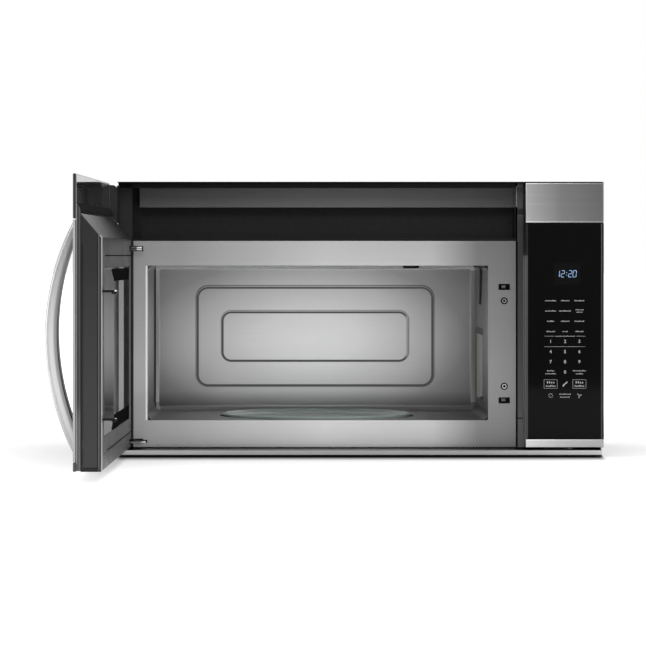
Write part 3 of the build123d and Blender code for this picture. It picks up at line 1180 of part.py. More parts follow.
def door_front_frame():
    """The plastic frame that carries the glass and backs the stainless band."""
    x0, x1 = LEFT + FRAME_INSET, DOOR_RIGHT - FRAME_INSET
    top = FRONT_TOP - BLOCK_SHEET
    frame = box(x0, x1, GLASS, FRAME_REAR, FRONT_BOTTOM + LAP, BAND_BASE)
    frame += box(x0, x1, BLOCK_SHEET, GLASS + LAP, BAND_BASE + RUN_GAP, top)
    frame += box(x0, x1, GLASS, GLASS + BACKING, BAND_BASE - LAP, top)
    frame += backing_cove(x0, x1) + backing_end_rib(x0)
    return frame - box(*WINDOW_X, GLASS - CUT, FRAME_REAR + CUT, *WINDOW_Z)


def inner_frame_block():
    """The deep moulding before anything is cut: a sloping top and one round corner."""
    profile = Polyline((FRAME_REAR, FRONT_BOTTOM), (DOOR_THICK, FRONT_BOTTOM),
                       (DOOR_THICK, DOOR_TOP_INNER), (FRAME_REAR, slope_height(FRAME_REAR)),
                       close=True)
    block = door_section(LEFT, DOOR_RIGHT, profile)
    upright = block.edges().filter_by(Axis.Z)
    corner = upright.group_by(Axis.X)[0].sort_by(Axis.Y)[-1]
    return fillet(corner, DOOR_END_RADIUS)


def choke_cover_line():
    """The joint line on the door's inner face round the part that meets the oven."""
    left, right, top, bottom = COVER_LINE
    x0, x1 = CAV_X0 - left, CAV_X1 + right
    z0, z1 = CAV_Z0 - bottom, CAV_Z1 + top
    rim = COVER_GROOVE
    outer = rounded_bar_y(x0, x1, z0, z1, COVER_RADIUS, DOOR_THICK - COVER_GROOVE_DEPTH,
                          DOOR_THICK + CUT)
    inner = rounded_bar_y(x0 + rim, x1 - rim, z0 + rim, z1 - rim, COVER_RADIUS - rim,
                          DOOR_THICK - CUT, DOOR_THICK + 2 * CUT)
    return outer - inner


def free_edge_cuts():
    """Two slots and a joint line down the door's free edge."""
    x0 = DOOR_RIGHT - EDGE_SLOT_DEPTH
    cuts = []
    for low, high in (EDGE_SLOT_LOWER, EDGE_SLOT_UPPER):
        cuts.append(box(x0, DOOR_RIGHT + CUT, *EDGE_SLOT, FRONT_BOTTOM + low, FRONT_BOTTOM + high))
    cuts.append(box(DOOR_RIGHT - EDGE_JOINT_DEPTH, DOOR_RIGHT + CUT, *EDGE_JOINT,
                    FRONT_BOTTOM - CUT, DOOR_TOP_INNER + SLOPE_RISE))
    return cuts


def hinge_notches():
    notch = HINGE_PLATE / 2 + HINGE_ROOM
    cuts = []
    for z in HINGE_LEVELS:
        cuts.append(box(LEFT - CUT, HINGE_ARM_X1 + HINGE_SWING_ROOM,
                        HINGE_Y - HINGE_LOBE - HINGE_TURN_ROOM, DOOR_THICK + CUT,
                        z - notch, z + notch))
        pin_top = z + HINGE_PLATE / 2 + HINGE_PIN_LENGTH + HINGE_PIN_ROOM
        cuts.append(rod_z(HINGE_PIN_R + PIN_CLEARANCE, HINGE_X, HINGE_Y, z, pin_top))
    return cuts


def latch_pocket():
    """Room for the latch bar and its spring, and a slot for each hook."""
    half = HOOK_WIDTH / 2 + RUN_GAP
    low, high = LATCH_BAR_Z
    cuts = [box(HOOK_X - half, HOOK_X + half, LATCH_BAR_Y - RUN_GAP,
                LATCH_BAR_Y + BAR_DEPTH + RUN_GAP, low - RUN_GAP, high + SPRING_LENGTH)]
    side = HOOK_BLADE / 2 + HOOK_SIDE_ROOM
    for z in HOOK_LEVELS:
        cuts.append(box(HOOK_X - side, HOOK_X + side, LATCH_BAR_Y, DOOR_THICK + CUT,
                        z - HOOK_ROOM, z + HOOK_TIP + LATCH_TRAVEL + HOOK_ROOM))
    return cuts


def door_inner_frame():
    """The deep moulding round the window, with its sloping top and the latch pocket."""
    frame = inner_frame_block()
    frame -= box(*WINDOW_X, FRAME_REAR - CUT, DOOR_THICK + CUT, *WINDOW_Z)
    frame -= box(*RECESS_X, RECESS_Y, DOOR_THICK + CUT, *RECESS_Z)
    rebate = SCREEN_REBATE
    frame -= box(WINDOW_X[0] - rebate, WINDOW_X[1] + rebate, FRAME_REAR - CUT, SCREEN_Y + SCREEN,
                 WINDOW_Z[0] - rebate, WINDOW_Z[1] + rebate)
    for cut in [choke_cover_line()] + free_edge_cuts() + hinge_notches() + latch_pocket():
        frame -= cut
    return frame


def door_screen():
    """The perforated steel screen, held in the rebate behind the frame."""
    rim = SCREEN_RIM
    return box(WINDOW_X[0] - rim, WINDOW_X[1] + rim, SCREEN_Y, SCREEN_Y + SCREEN,
               WINDOW_Z[0] - rim, WINDOW_Z[1] + rim)


def door_inner_window():
    room = PANE_ROOM
    return box(RECESS_X[0] + room, RECESS_X[1] - room, RECESS_Y, RECESS_Y + INNER_PANE,
               RECESS_Z[0] + room, RECESS_Z[1] - room)


def latch_hooks():
    """One bar behind the moulding with a hook at each end."""
    half, blade = HOOK_WIDTH / 2, HOOK_BLADE / 2
    y0, y1 = LATCH_BAR_Y, LATCH_BAR_Y + BAR_DEPTH
    bar = box(HOOK_X - half, HOOK_X + half, y0, y1, *LATCH_BAR_Z)
    for z in HOOK_LEVELS:
        top = z + HOOK_TIP
        bar += box(HOOK_X - blade, HOOK_X + blade, y1 - LAP, HOOK_TIP_Y, top - HOOK_ARM, top)
        hook = box(HOOK_X - blade, HOOK_X + blade, HOOK_TIP_Y - HOOK_TIP_LENGTH, HOOK_TIP_Y,
                   z, top)
        nose = hook.edges().filter_by(Axis.X).group_by(Axis.Z)[0].sort_by(Axis.Y)[-1]
        bar += chamfer(nose, HOOK_NOSE)
    return bar


def latch_spring():
    pitch = (SPRING_LENGTH - 2 * SPRING_WIRE) / SPRING_TURNS
    start = Pos(HOOK_X, LATCH_BAR_Y + BAR_DEPTH / 2, LATCH_BAR_Z[1] + SPRING_WIRE)
    path = start * Helix(pitch, pitch * SPRING_TURNS, SPRING_R)
    section = Plane(origin=path @ 0, z_dir=path % 0) * Circle(SPRING_WIRE / 2)
    return sweep(section, path=path, is_frenet=True)


def handle_arc(length, rise, centre):
    """A bow through two ends on the door face and a high point in the middle."""
    return ThreePointArc((0, centre + length / 2), (-rise, centre), (0, centre - length / 2))


def door_handle():
    outer = handle_arc(HANDLE_LENGTH, HANDLE_RISE, HANDLE_CENTRE)
    inner = handle_arc(HANDLE_INNER_LENGTH, HANDLE_INNER_RISE, HANDLE_CENTRE + HANDLE_INNER_OFFSET)
    top = Line(outer @ 0, inner @ 0)
    bottom = Line(inner @ 1, outer @ 1)
    x0 = DOOR_RIGHT - HANDLE_FROM_EDGE - HANDLE_WIDTH
    bow = door_section(x0, x0 + HANDLE_WIDTH, Curve() + [outer, bottom, inner, top])
    crown = [edge for edge in bow.edges().filter_by(GeomType.CIRCLE)
             if abs(edge.radius - outer.radius) < LAP]
    return fillet(crown, HANDLE_ROUND)


# ================================================================ write every node
def fixed_nodes():
    """The nodes that stay with the body, and the turntable."""
    nodes = {
        "cabinet_wrap": [cabinet_wrap()],
        "cord_gland": [cord_gland()],
        "base_plate": [base_plate()],
        "base_front_strip": [base_front_strip()],
        "rear_panel": [rear_panel()],
        "wall_mounting_plate": [wall_mounting_plate()],
        "front_plate": [front_plate()],
        "cavity_wrap": [cavity_wrap()],
        "cavity_floor": [cavity_floor()],
        "cavity_back": [cavity_back()],
        "waveguide_cover": [waveguide_cover()],
        "steam_sensor": [steam_sensor()],
        "cavity_lamp": [cavity_lamp()],
        "turntable_motor": [turntable_motor()],
        "turntable_coupler": [turntable_coupler()],
        "turntable_tray": [turntable_tray()],
        "roller_ring": [roller_ring()],
        "vent_grille": [vent_grille()],
        "charcoal_filter": [charcoal_filter()],
        "blower_housing": [blower_housing()],
        "blower_motor": [blower_motor()],
        "blower_shaft": [blower_shaft()],
        "waveguide": [waveguide()],
        "magnetron": [magnetron()],
        "high_voltage_transformer": [high_voltage_transformer()],
        "high_voltage_capacitor": [high_voltage_capacitor()],
        "line_filter_board": [line_filter_board()],
        "cooling_fan_frame": [cooling_fan_frame()],
        "cooling_fan_blade": [cooling_fan_blade()],
        "interlock_bracket": [interlock_bracket()],
        "interlock_switches": [interlock_switch(z) for z in SLOT_MIDDLES],
        "screws": [screw(z) for z in SCREW_LEVELS],
        "panel_frame": [panel_frame()],
        "panel_top_block": [panel_top_block()],
        "panel_glass": [panel_glass()],
        "panel_bottom_strip": [panel_bottom_strip()],
        "control_board": [control_board()],
        "cooktop_lamp_lens": [cooktop_lamp_lens()],
        "cooktop_lamps": [cooktop_lamp(CAV_XM + side * LAMP_SPREAD / 2) for side in (-1, 1)],
        "hinge_upper": [hinge(HINGE_LEVELS[0], False)],
        "hinge_lower": [hinge(HINGE_LEVELS[1], True)],
    }
    for number, angle in enumerate(wheel_angles(), start=1):
        nodes[f"roller_wheel_{number}"] = [roller_wheel(angle)]
    for side, (x0, x1) in zip(("left", "right"), blower_ends()):
        nodes[f"blower_wheel_{side}"] = [blower_wheel(x0 + SCROLL_GAP, x1 - SCROLL_GAP)]
    for side, x in zip(("left", "right"), FILTER_CENTRES):
        nodes[f"grease_filter_{side}"] = [grease_filter(x)]
    for side, z in zip(("upper", "lower"), SLOT_MIDDLES):
        nodes[f"interlock_plunger_{side}"] = [interlock_plunger(z)]
    return nodes


def door_nodes():
    """The nodes that swing with the door."""
    closed = {
        "door_glass": door_glass(),
        "door_top_strip": door_top_strip(),
        "door_bottom_strip": door_bottom_strip(),
        "door_front_frame": door_front_frame(),
        "door_inner_frame": door_inner_frame(),
        "door_screen": door_screen(),
        "door_inner_window": door_inner_window(),
        "latch_hooks": latch_hooks(),
        "latch_spring": latch_spring(),
        "door_handle": door_handle(),
    }
    return {name: [open_door(shape)] for name, shape in closed.items()}


os.makedirs("parts", exist_ok=True)
for name, shapes in {**fixed_nodes(), **door_nodes()}.items():
    save(name, *shapes)
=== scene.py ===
# %% [markdown]
# ## A microwave oven hung over a cooktop
# The solids were measured and modelled first, so this script never changes their shape or place.
# It loads them, gives every piece a finish, models the fine pieces that show, and sets up the
# floor, the lamps and the camera.  All lengths are in metres.

# %% Load the solids
import json
import math
from contextlib import contextmanager
from functools import partialmethod
import bmesh
import bpy
from mathutils import Matrix, Vector

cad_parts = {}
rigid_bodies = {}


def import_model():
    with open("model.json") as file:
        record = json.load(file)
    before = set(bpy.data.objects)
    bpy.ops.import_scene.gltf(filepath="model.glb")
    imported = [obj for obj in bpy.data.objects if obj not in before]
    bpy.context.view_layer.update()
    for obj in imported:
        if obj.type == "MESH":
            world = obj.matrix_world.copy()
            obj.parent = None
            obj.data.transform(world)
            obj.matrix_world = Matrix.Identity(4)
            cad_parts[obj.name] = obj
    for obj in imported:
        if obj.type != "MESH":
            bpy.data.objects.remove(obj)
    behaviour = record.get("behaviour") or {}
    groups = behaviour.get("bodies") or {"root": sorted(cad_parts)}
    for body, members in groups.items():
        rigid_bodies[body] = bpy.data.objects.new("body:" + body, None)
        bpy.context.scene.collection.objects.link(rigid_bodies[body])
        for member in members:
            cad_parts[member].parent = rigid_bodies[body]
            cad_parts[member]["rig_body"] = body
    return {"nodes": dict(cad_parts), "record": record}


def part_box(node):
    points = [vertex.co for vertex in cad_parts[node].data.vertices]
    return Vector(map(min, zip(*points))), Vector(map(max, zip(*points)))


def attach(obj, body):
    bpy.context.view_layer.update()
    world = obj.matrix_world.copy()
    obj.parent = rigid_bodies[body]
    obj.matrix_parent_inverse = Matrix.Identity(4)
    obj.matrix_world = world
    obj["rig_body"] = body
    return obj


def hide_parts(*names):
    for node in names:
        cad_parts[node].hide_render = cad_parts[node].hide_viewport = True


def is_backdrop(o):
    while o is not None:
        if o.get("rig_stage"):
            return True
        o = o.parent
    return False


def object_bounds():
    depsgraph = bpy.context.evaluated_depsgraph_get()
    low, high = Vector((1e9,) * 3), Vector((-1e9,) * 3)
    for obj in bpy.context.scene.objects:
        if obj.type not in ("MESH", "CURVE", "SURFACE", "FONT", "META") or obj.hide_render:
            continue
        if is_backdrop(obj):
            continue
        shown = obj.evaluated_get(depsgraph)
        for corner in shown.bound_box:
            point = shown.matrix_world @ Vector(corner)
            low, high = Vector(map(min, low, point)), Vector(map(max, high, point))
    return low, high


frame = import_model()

solid_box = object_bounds()
solids = frame["nodes"]
slot_of = {part["node"]: part["material_slot"] for part in frame["record"]["subparts"]}
MM = 0.001
print(len(solids), "solids,", [round(side / MM) for side in solid_box[1] - solid_box[0]], "mm")

# %% [markdown]
# ## Working on one piece at a time
# An operator works on everything that is selected, and the solids arrive selected.  So each step
# starts by selecting one piece alone.  A finished piece keeps its place in its mesh and its
# object at the origin, because patterns are read in the object's own coordinates.

# %% Select a piece, and put its place in its mesh
def take(piece):
    """Select one piece and nothing else."""
    bpy.ops.object.select_all(action="DESELECT")
    piece.select_set(True)
    bpy.context.view_layer.objects.active = piece


def settle(name):
    """Name the piece just made and move its place, turn and scale into its mesh."""
    piece = bpy.context.object
    take(piece)
    bpy.ops.object.transform_apply(location=True, rotation=True, scale=True)
    piece.name = piece.data.name = name
    return piece


@contextmanager
def editing(piece):
    """Work on one piece in edit mode, with a helper that selects by place and normal."""

    def select(kind, test):
        """Select only the faces, edges or verts whose middle passes the test."""
        mesh = bmesh.from_edit_mesh(piece.data)
        bpy.ops.mesh.select_all(action="DESELECT")
        bpy.ops.mesh.select_mode(type=kind[:-1].upper())
        chosen = 0
        for part in getattr(mesh, kind):
            points = [part.co] if kind == "verts" else [corner.co for corner in part.verts]
            normal = Vector() if kind == "edges" else part.normal
            if test(sum(points, Vector()) / len(points), normal):
                part.select_set(True)
                chosen += 1
        mesh.select_flush_mode()
        bmesh.update_edit_mesh(piece.data)
        return chosen

    take(piece)
    bpy.ops.object.mode_set(mode="EDIT")
    yield select
    bpy.ops.object.mode_set(mode="OBJECT")


# %% [markdown]
# A real edge is never sharp.  A bevel modifier rounds every edge that turns by more than a given
# angle, and weighted normals keep the flat faces looking flat.

# %% Round the edges of a piece
SHARP = math.radians(35)


def use_modifier(piece, kind, **settings):
    """Add a modifier, set it, and apply it."""
    take(piece)
    modifier = piece.modifiers.new(kind.title(), kind)
    for setting, value in settings.items():
        setattr(modifier, setting, value)
    bpy.ops.object.modifier_apply(modifier=modifier.name)


def ease_edges(piece, width, rings=2):
    """Round the sharp edges a little and shade the rest smooth."""
    use_modifier(piece, "BEVEL", width=width, segments=rings, limit_method="ANGLE",
                 angle_limit=SHARP, use_clamp_overlap=True)
    bpy.ops.object.shade_smooth_by_angle(angle=SHARP)
    use_modifier(piece, "WEIGHTED_NORMAL", keep_sharp=True)


print("Edges that turn more than", round(math.degrees(SHARP)), "degrees are rounded")

# %% [markdown]
# ## Starting, copying and dressing a piece
# A fine piece starts as a block between two corners.  What repeats is modelled once and copied,
# each copy with its own mesh, and what belongs together is joined.

# %% Make blocks, plates and copies
def start_block(name, low, high):
    """A block between two corners."""
    low, high = Vector(low), Vector(high)
    bpy.ops.object.select_all(action="DESELECT")
    bpy.ops.mesh.primitive_cube_add(size=1, location=(low + high) / 2, scale=high - low)
    return settle(name)


def rounded_plate(name, low, high, radius, edge_axis):
    """A plate with its four corners along one axis rounded, and its rims eased."""
    plate = start_block(name, low, high)
    middle = (low[edge_axis] + high[edge_axis]) / 2
    with editing(plate) as select:
        select("edges", lambda place, normal: abs(place[edge_axis] - middle) < 1e-6)
        bpy.ops.mesh.bevel(offset=radius, segments=6, affect="EDGES")
    thin = min(abs(b - a) for a, b in zip(low, high))
    ease_edges(plate, thin * 0.3, 1)
    return plate


def copy_of(piece, name, move):
    """Another piece with its own mesh, moved or stretched by a matrix."""
    twin = bpy.data.objects.new(name, piece.data.copy())
    bpy.context.collection.objects.link(twin)
    twin.data.transform(move)
    twin.data.name = name
    return twin


def join(pieces, name):
    """Make one piece of several."""
    take(pieces[0])
    for piece in pieces:
        piece.select_set(True)
    bpy.ops.object.join()
    bpy.context.object.name = bpy.context.object.data.name = name
    return bpy.context.object


print("Blocks and copies can be made")

# %% [markdown]
# A finished piece gets a finish and the body that it moves with, and it may stand in for a solid.
# A solid's mesh is loose triangles, so a copy of it is merged before its edges are eased.

# %% Dress a piece, and soften a copy of a solid
WELD = 0.00001                   # points closer than this are merged
FLAT = math.radians(0.5)         # faces that turn less than this become one


def dress(piece, finish, body="oven_body", node=None):
    """Give a piece its finish, its body, and the solid that it stands in for."""
    if finish:
        piece.data.materials.clear()
        piece.data.materials.append(finish)
    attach(piece, body)
    if node:
        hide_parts(node)
    return piece


def softened(node, name, width):
    """A merged copy of a solid with its edges eased, which stands in for it."""
    piece = copy_of(solids[node], name, Matrix())
    take(piece)
    bpy.ops.mesh.customdata_custom_splitnormals_clear()
    with editing(piece):
        bpy.ops.mesh.select_all(action="SELECT")
        bpy.ops.mesh.remove_doubles(threshold=WELD)
        bpy.ops.mesh.dissolve_limited(angle_limit=FLAT)
    ease_edges(piece, width)
    return dress(piece, None, solids[node]["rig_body"], node)


print("Slots in use:", len(set(slot_of.values())))

# %% [markdown]
# ## Writing shader maths as sums
# A finish is a tree of nodes.  Linking Math nodes by hand hides the sum they make, so a small
# class wraps a socket and lets ordinary signs add the nodes.

# %% A socket that can be added and multiplied
class Value:
    """The output of a node, on which + - * / and a few functions add nodes."""

    def __init__(self, finish, socket):
        self.finish = finish
        self.socket = socket

    def maths(self, operation, other=0.0):
        return self.finish.add("ShaderNodeMath", {0: self, 1: other}, operation=operation)

    def __rsub__(self, other):
        return self.finish.add("ShaderNodeMath", {0: other, 1: self}, operation="SUBTRACT")

    # each of these adds one Math node
    __add__ = __radd__ = partialmethod(maths, "ADD")
    __mul__ = __rmul__ = partialmethod(maths, "MULTIPLY")
    __sub__ = partialmethod(maths, "SUBTRACT")
    __truediv__ = partialmethod(maths, "DIVIDE")
    power = partialmethod(maths, "POWER")
    at_least = partialmethod(maths, "MAXIMUM")
    at_most = partialmethod(maths, "MINIMUM")
    above = partialmethod(maths, "GREATER_THAN")
    below = partialmethod(maths, "LESS_THAN")
    size = partialmethod(maths, "ABSOLUTE")

    def between(self, low, high):
        return self.above(low) * self.below(high)

    def near(self, place, reach):
        return (self - place).size().below(reach)

    def away(self, other):
        """The length of the slant whose two legs are this and the other."""
        return (self * self + other * other).power(0.5)

    def saw(self, length):
        """Runs from -1/2 to 1/2 once in each length."""
        return (self / length + 0.5).maths("FRACT") - 0.5

    def ramp(self, start, end, stops):
        """Levels at shares of the way from a start to an end, and straight between them."""
        return self.finish.add("ShaderNodeValToRGB", {"Fac": (self - start) / (end - start)},
                               stops=stops)

    def slide(self, start, end, first, last, curve="LINEAR"):
        """One level before the start, another after the end, and a slide between them."""
        return self.finish.add("ShaderNodeMapRange", {
            "Value": self, "From Min": start, "From Max": end, "To Min": first, "To Max": last},
            interpolation_type=curve)


print("Sums can be written")

# %% [markdown]
# ## One method for every node
# Every node comes from one method that takes its type, what goes into its sockets, and its
# settings.  A finish holds its tree, its shader and the object's own coordinates.

# %% A finish that is put together node by node
class Finish:
    """A material that is being put together on one Principled shader."""

    def __init__(self, name, **fixed):
        self.material = bpy.data.materials.new(name)
        self.material.use_nodes = True
        self.tree = self.material.node_tree
        self.skin = self.tree.nodes["Principled BSDF"]
        self.here = self.add("ShaderNodeTexCoord", output="Object")
        self.give(**fixed)

    def add(self, kind, sockets=None, output=0, **settings):
        """Add any node: its settings first, then the values or links of its sockets."""
        node = self.tree.nodes.new(kind)
        for setting, value in settings.items():
            if setting == "stops":
                self.set_stops(node.color_ramp, value)
            else:
                setattr(node, setting, value)
        for socket, value in (sockets or {}).items():
            self.feed(node.inputs[socket], value)
        if isinstance(output, list):
            return [Value(self, node.outputs[name]) for name in output]
        return Value(self, node.outputs[output])

    def feed(self, socket, value):
        if isinstance(value, Value):
            self.tree.links.new(value.socket, socket)
        else:
            socket.default_value = value

    @staticmethod
    def set_stops(ramp, stops):
        while len(ramp.elements) < len(stops):
            ramp.elements.new(1.0)
        for element, (place, level) in zip(ramp.elements, stops):
            element.position = place
            element.color = grey(level)

    def give(self, **sockets):
        """Feed the shader's own sockets."""
        for socket, value in sockets.items():
            self.feed(self.skin.inputs[socket.replace("_", " ")], value)

    def stretched(self, scale, turn=(0, 0, 0)):
        return self.add("ShaderNodeMapping", {"Vector": self.here, "Scale": scale,
                                              "Rotation": turn})

    def axes(self):
        """The object's own X, Y and Z as three values."""
        return self.add("ShaderNodeSeparateXYZ", {0: self.here}, ["X", "Y", "Z"])

    def noise(self, scale, detail=2.0, where=None):
        return self.add("ShaderNodeTexNoise", {"Vector": where or self.here, "Scale": scale,
                                               "Detail": detail})

    def cells(self, scale, output="Distance", **sockets):
        """How far the nearest of many scattered points is, or its cell's colour."""
        return self.add("ShaderNodeTexVoronoi", {"Vector": self.here, "Scale": scale, **sockets},
                        output)

    def patches(self, scale):
        """Cells, each with a level of its own."""
        return self.add("ShaderNodeSeparateColor", {0: self.cells(scale, "Color")})

    def blend(self, amount, first, second):
        """A colour between two colours."""
        return self.add("ShaderNodeMix", {0: amount, 6: first, 7: second}, 2, data_type="RGBA")

    def shaded(self, amount):
        """Black at 0 and white at 1."""
        return self.blend(amount, grey(0.0), grey(1.0))

    def wear(self, shade, painted_light):
        """Blend in another colour where a function of the axes paints light or shade on the
        surface.
        """
        if not painted_light:
            return shade
        amount, pale = painted_light(*self.axes())
        return self.blend(amount, shade, pale)

    def relief(self, height, depth, strength=1.0):
        """Turn a height from 0 to 1 into dents of a depth."""
        return self.add("ShaderNodeBump", {"Height": height, "Distance": depth,
                                           "Strength": strength})


def grey(level):
    return (level, level, level, 1.0)


print("Finishes can be put together")

# %% [markdown]
# ## Finishes
# Each finish has what the real surface shows when it is seen close: brush lines in steel, the
# stipple of moulded plastic, the crystals of zinc plate, the holes of the window screen.  They
# are worked out from the object's own coordinates, so nothing needs unwrapping.

# %% Steel, brushed along one direction, and zinc plate
BRUSHED_X = (2.0, 300.0, 1500.0)         # how close the lines lie along X, Y and Z
BRUSHED_Y = (300.0, 2.0, 1500.0)
BRUSHED_Z = (700.0, 700.0, 4.0)
OVEN_GRAIN = (8.0, 60.0, 900.0)
EVEN_GRAIN = (300.0, 300.0, 300.0)


def brushed(name, level, lines, rough, painted_fade=None, painted_matt=None):
    """Steel with fine lines.  One function paints light and shade into its tone, another finds
    where it is matt and paints the grey there.
    """
    steel = Finish(name, Metallic=1.0)
    grain = steel.noise(1.0, 4.0, steel.stretched(lines))
    cloud = steel.noise(9.0)
    tone = (grain - 0.5) * 0.10 + (cloud - 0.5) * 0.05 + 1.0
    if painted_fade:
        tone = tone * painted_fade(*steel.axes())
    light = steel.shaded(tone * level)
    if painted_matt:
        matt, shade = painted_matt(*steel.axes())
        light = steel.blend(matt, light, steel.shaded(shade))
        steel.give(Metallic=1 - matt, Specular_IOR_Level=0.0)
    steel.give(Base_Color=light, Roughness=(grain - 0.5) * 0.12 + rough,
               Normal=steel.relief(grain, 0.00001, 0.25))
    return steel.material


def zinc(name, level):
    """Zinc plated sheet, with the patches of its crystals."""
    sheet = Finish(name, Metallic=0.9)
    patch = sheet.patches(110.0)
    cloud = sheet.noise(20.0, 3.0)
    tone = (patch - 0.5) * 0.14 + (cloud - 0.5) * 0.1 + level
    sheet.give(Base_Color=sheet.blend(tone, grey(0.0), (0.98, 1.0, 1.02, 1.0)),
               Roughness=patch * 0.2 + 0.32, Normal=sheet.relief(patch, 0.00003, 0.3))
    return sheet.material


print("Steel and zinc can be made")

# %% [markdown]
# Plastic and glass show much less: a fine stipple, a slight cloudiness, faint smears.  Where a
# layer of the door or the panel is seen edge on, a function of the axes paints it paler: painted
# light.

# %% Plastic, paint, rubber and glass
def moulded(name, level, rough=0.5, stipple=0.35, grain=900.0, gloss=0.15, painted_light=None):
    """Moulded plastic with a fine stipple and a slight cloudiness, paler where light is painted on.
    """
    plastic = Finish(name, Specular_IOR_Level=gloss)
    fine = plastic.noise(grain)
    cloud = plastic.noise(14.0, 3.0)
    shade = plastic.blend((cloud - 0.35) * 0.5 + (fine - 0.5) * 0.3,
                          grey(level * 0.88), grey(min(level * 1.14, 1.0)))
    plastic.give(Base_Color=plastic.wear(shade, painted_light), Roughness=(cloud - 0.5) * 0.16 + rough,
                 Normal=plastic.relief(fine, 0.00006, stipple))
    return plastic.material


def matt_black(name, level, rough=0.8):
    """Rubber, a matt foot, and black strips of painted shade and painted reflection, none of which
    mirror anything.
    """
    return moulded(name, level, rough, 0.2, gloss=0.0)


def polished(name, level, rough=0.04, mirror=0.5, painted_light=None):
    """A hard polished surface with faint smears, with painted highlights where its layers show."""
    gloss = Finish(name, Specular_IOR_Level=mirror)
    smear = gloss.noise(16.0, 4.0, gloss.stretched((1.0, 1.0, 0.35)))
    shade = gloss.blend(smear, grey(level), grey(level * 1.5))
    gloss.give(Base_Color=gloss.wear(shade, painted_light), Roughness=(smear - 0.4) * 0.05 + rough)
    return gloss.material


def clear(name, colour, rough, through=1.0):
    """Glass that light passes through."""
    glass = Finish(name, IOR=1.5, Transmission_Weight=through)
    cloud = glass.noise(12.0, 3.0)
    deeper = tuple(part * 0.94 for part in colour[:3]) + (1.0,)
    glass.give(Base_Color=glass.blend(cloud, colour, deeper), Roughness=cloud * 0.02 + rough)
    return glass.material


HINGE_PIN = Vector((-0.369, -0.3708, 0))


def film_finish():
    """The window's clear film lies in slight waves, so it mirrors the oven front in stripes."""
    film = Finish("window_film")
    x, y, z = film.axes()
    along = HINGE_PIN.y - y
    waves = along.slide(0.020, 0.158, 0.0, 0.0034) + along.slide(0.265, 0.368, 0.0, 0.0038)
    smear = film.noise(16.0, 4.0, film.stretched((1.0, 0.35, 1.0)))
    film.give(Base_Color=film.blend(smear, grey(0.006), grey(0.012)),
              Roughness=(smear - 0.4) * 0.04 + 0.03, Normal=film.relief(waves, 1.0))
    return film.material


print("Plastic and glass can be made")

# %% [markdown]
# Some materials carry a pattern of their own: the rows of holes in the screen, the flakes of
# pressed mica, the diamonds of expanded metal, the tracks of a circuit board.  The patterns are
# drawn from points and stripes in the material, because as faces they would be far too many.

# %% The window screen and the mica cover
SCREEN_PITCH = 0.0021
SCREEN_HOLE = 0.33               # a hole's radius as a share of the pitch


def screen_finish():
    """Black enamelled sheet with rows of small round holes."""
    sheet = Finish("screen_enamel", Metallic=0.2)
    holes = sheet.cells(1 / SCREEN_PITCH, Randomness=0.0).below(SCREEN_HOLE)
    cloud = sheet.noise(30.0)
    sheet.give(Base_Color=sheet.blend(holes, grey(0.03), grey(0.004)),
               Roughness=cloud * 0.2 + 0.3, Normal=sheet.relief(1 - holes, 0.0002, 0.4))
    return sheet.material


def mica_finish():
    """Pressed mica: pale, with flakes and short fibres, and painted shade along its sunk edges."""
    board = Finish("mica_board")
    x, y, z = board.axes()
    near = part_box("waveguide_cover")[0].y + 0.3 * MM
    # painted shade: the far end, the top, the near end face and a slanting strip at the near foot
    # are painted grey
    sunk = y.above(-0.074).at_least(z.above(-0.0285)).at_least(y.below(near))
    sunk = sunk.at_least((z + 0.133 + (y + 0.14) * 0.08).below(0.0) * y.below(-0.14))
    flake = board.patches(160.0)
    fibre = board.noise(60.0, 6.0, board.stretched((1.0, 6.0, 1.0), (0.4, 0, 0)))
    tone = (flake - 0.5) * 0.3 + (fibre - 0.5) * 0.5 + 0.5
    pale = board.blend(tone, (0.95, 0.95, 0.84, 1.0), (1.0, 1.0, 0.92, 1.0))
    board.give(Base_Color=board.blend(sunk, pale, grey(0.17)),
               Roughness=flake * 0.2 + 0.4, Normal=board.relief(flake, 0.00006, 0.4))
    return board.material


print("Screen holes", round(SCREEN_HOLE * SCREEN_PITCH * 2 / MM, 2), "mm across")

# %% [markdown]
# Crossed stripes make the diamonds of expanded metal, and plain stripes make the tracks of a
# circuit board and the turns of a winding.

# %% Mesh, foam, circuit board and winding
DIAMOND = 0.0052                 # how far the stripes of each are apart
TRACK = 0.0044
WIRE = 0.0009


def filter_finish():
    """Expanded aluminium: diamond openings between thin bright strands."""
    mesh = Finish("expanded_aluminium", Metallic=0.9)
    x, y, z = mesh.axes()
    strand = (x + y * 0.6).saw(DIAMOND).size().at_least((x - y * 0.6).saw(DIAMOND).size())
    bright = strand.above(0.36)
    mesh.give(Base_Color=mesh.blend(bright, grey(0.06), grey(0.72)),
              Roughness=0.45 - bright * 0.12, Normal=mesh.relief(strand, 0.0004, 0.8))
    return mesh.material


def foam_finish():
    """Open foam loaded with charcoal."""
    foam = Finish("charcoal_foam", Roughness=0.95, Specular_IOR_Level=0.1)
    cells = foam.cells(380.0)
    foam.give(Base_Color=foam.blend(cells, grey(0.020), grey(0.026)),
              Normal=foam.relief(cells, 0.0003, 0.25))
    return foam.material


def board_finish():
    """Green laminate with copper tracks under the lacquer, and pale solder dots."""
    board = Finish("green_laminate")
    x, y, z = board.axes()
    track = (z + board.noise(20.0, 0.0) * 0.004).saw(TRACK).size().below(0.17)
    solder = board.cells(210.0).below(0.22)
    lacquer = board.blend(track, (0.012, 0.10, 0.035, 1.0), (0.03, 0.20, 0.07, 1.0))
    board.give(Base_Color=board.blend(solder, lacquer, grey(0.55)), Roughness=0.42 - track * 0.1,
               Normal=board.relief(track, 0.00006, 0.5))
    return board.material


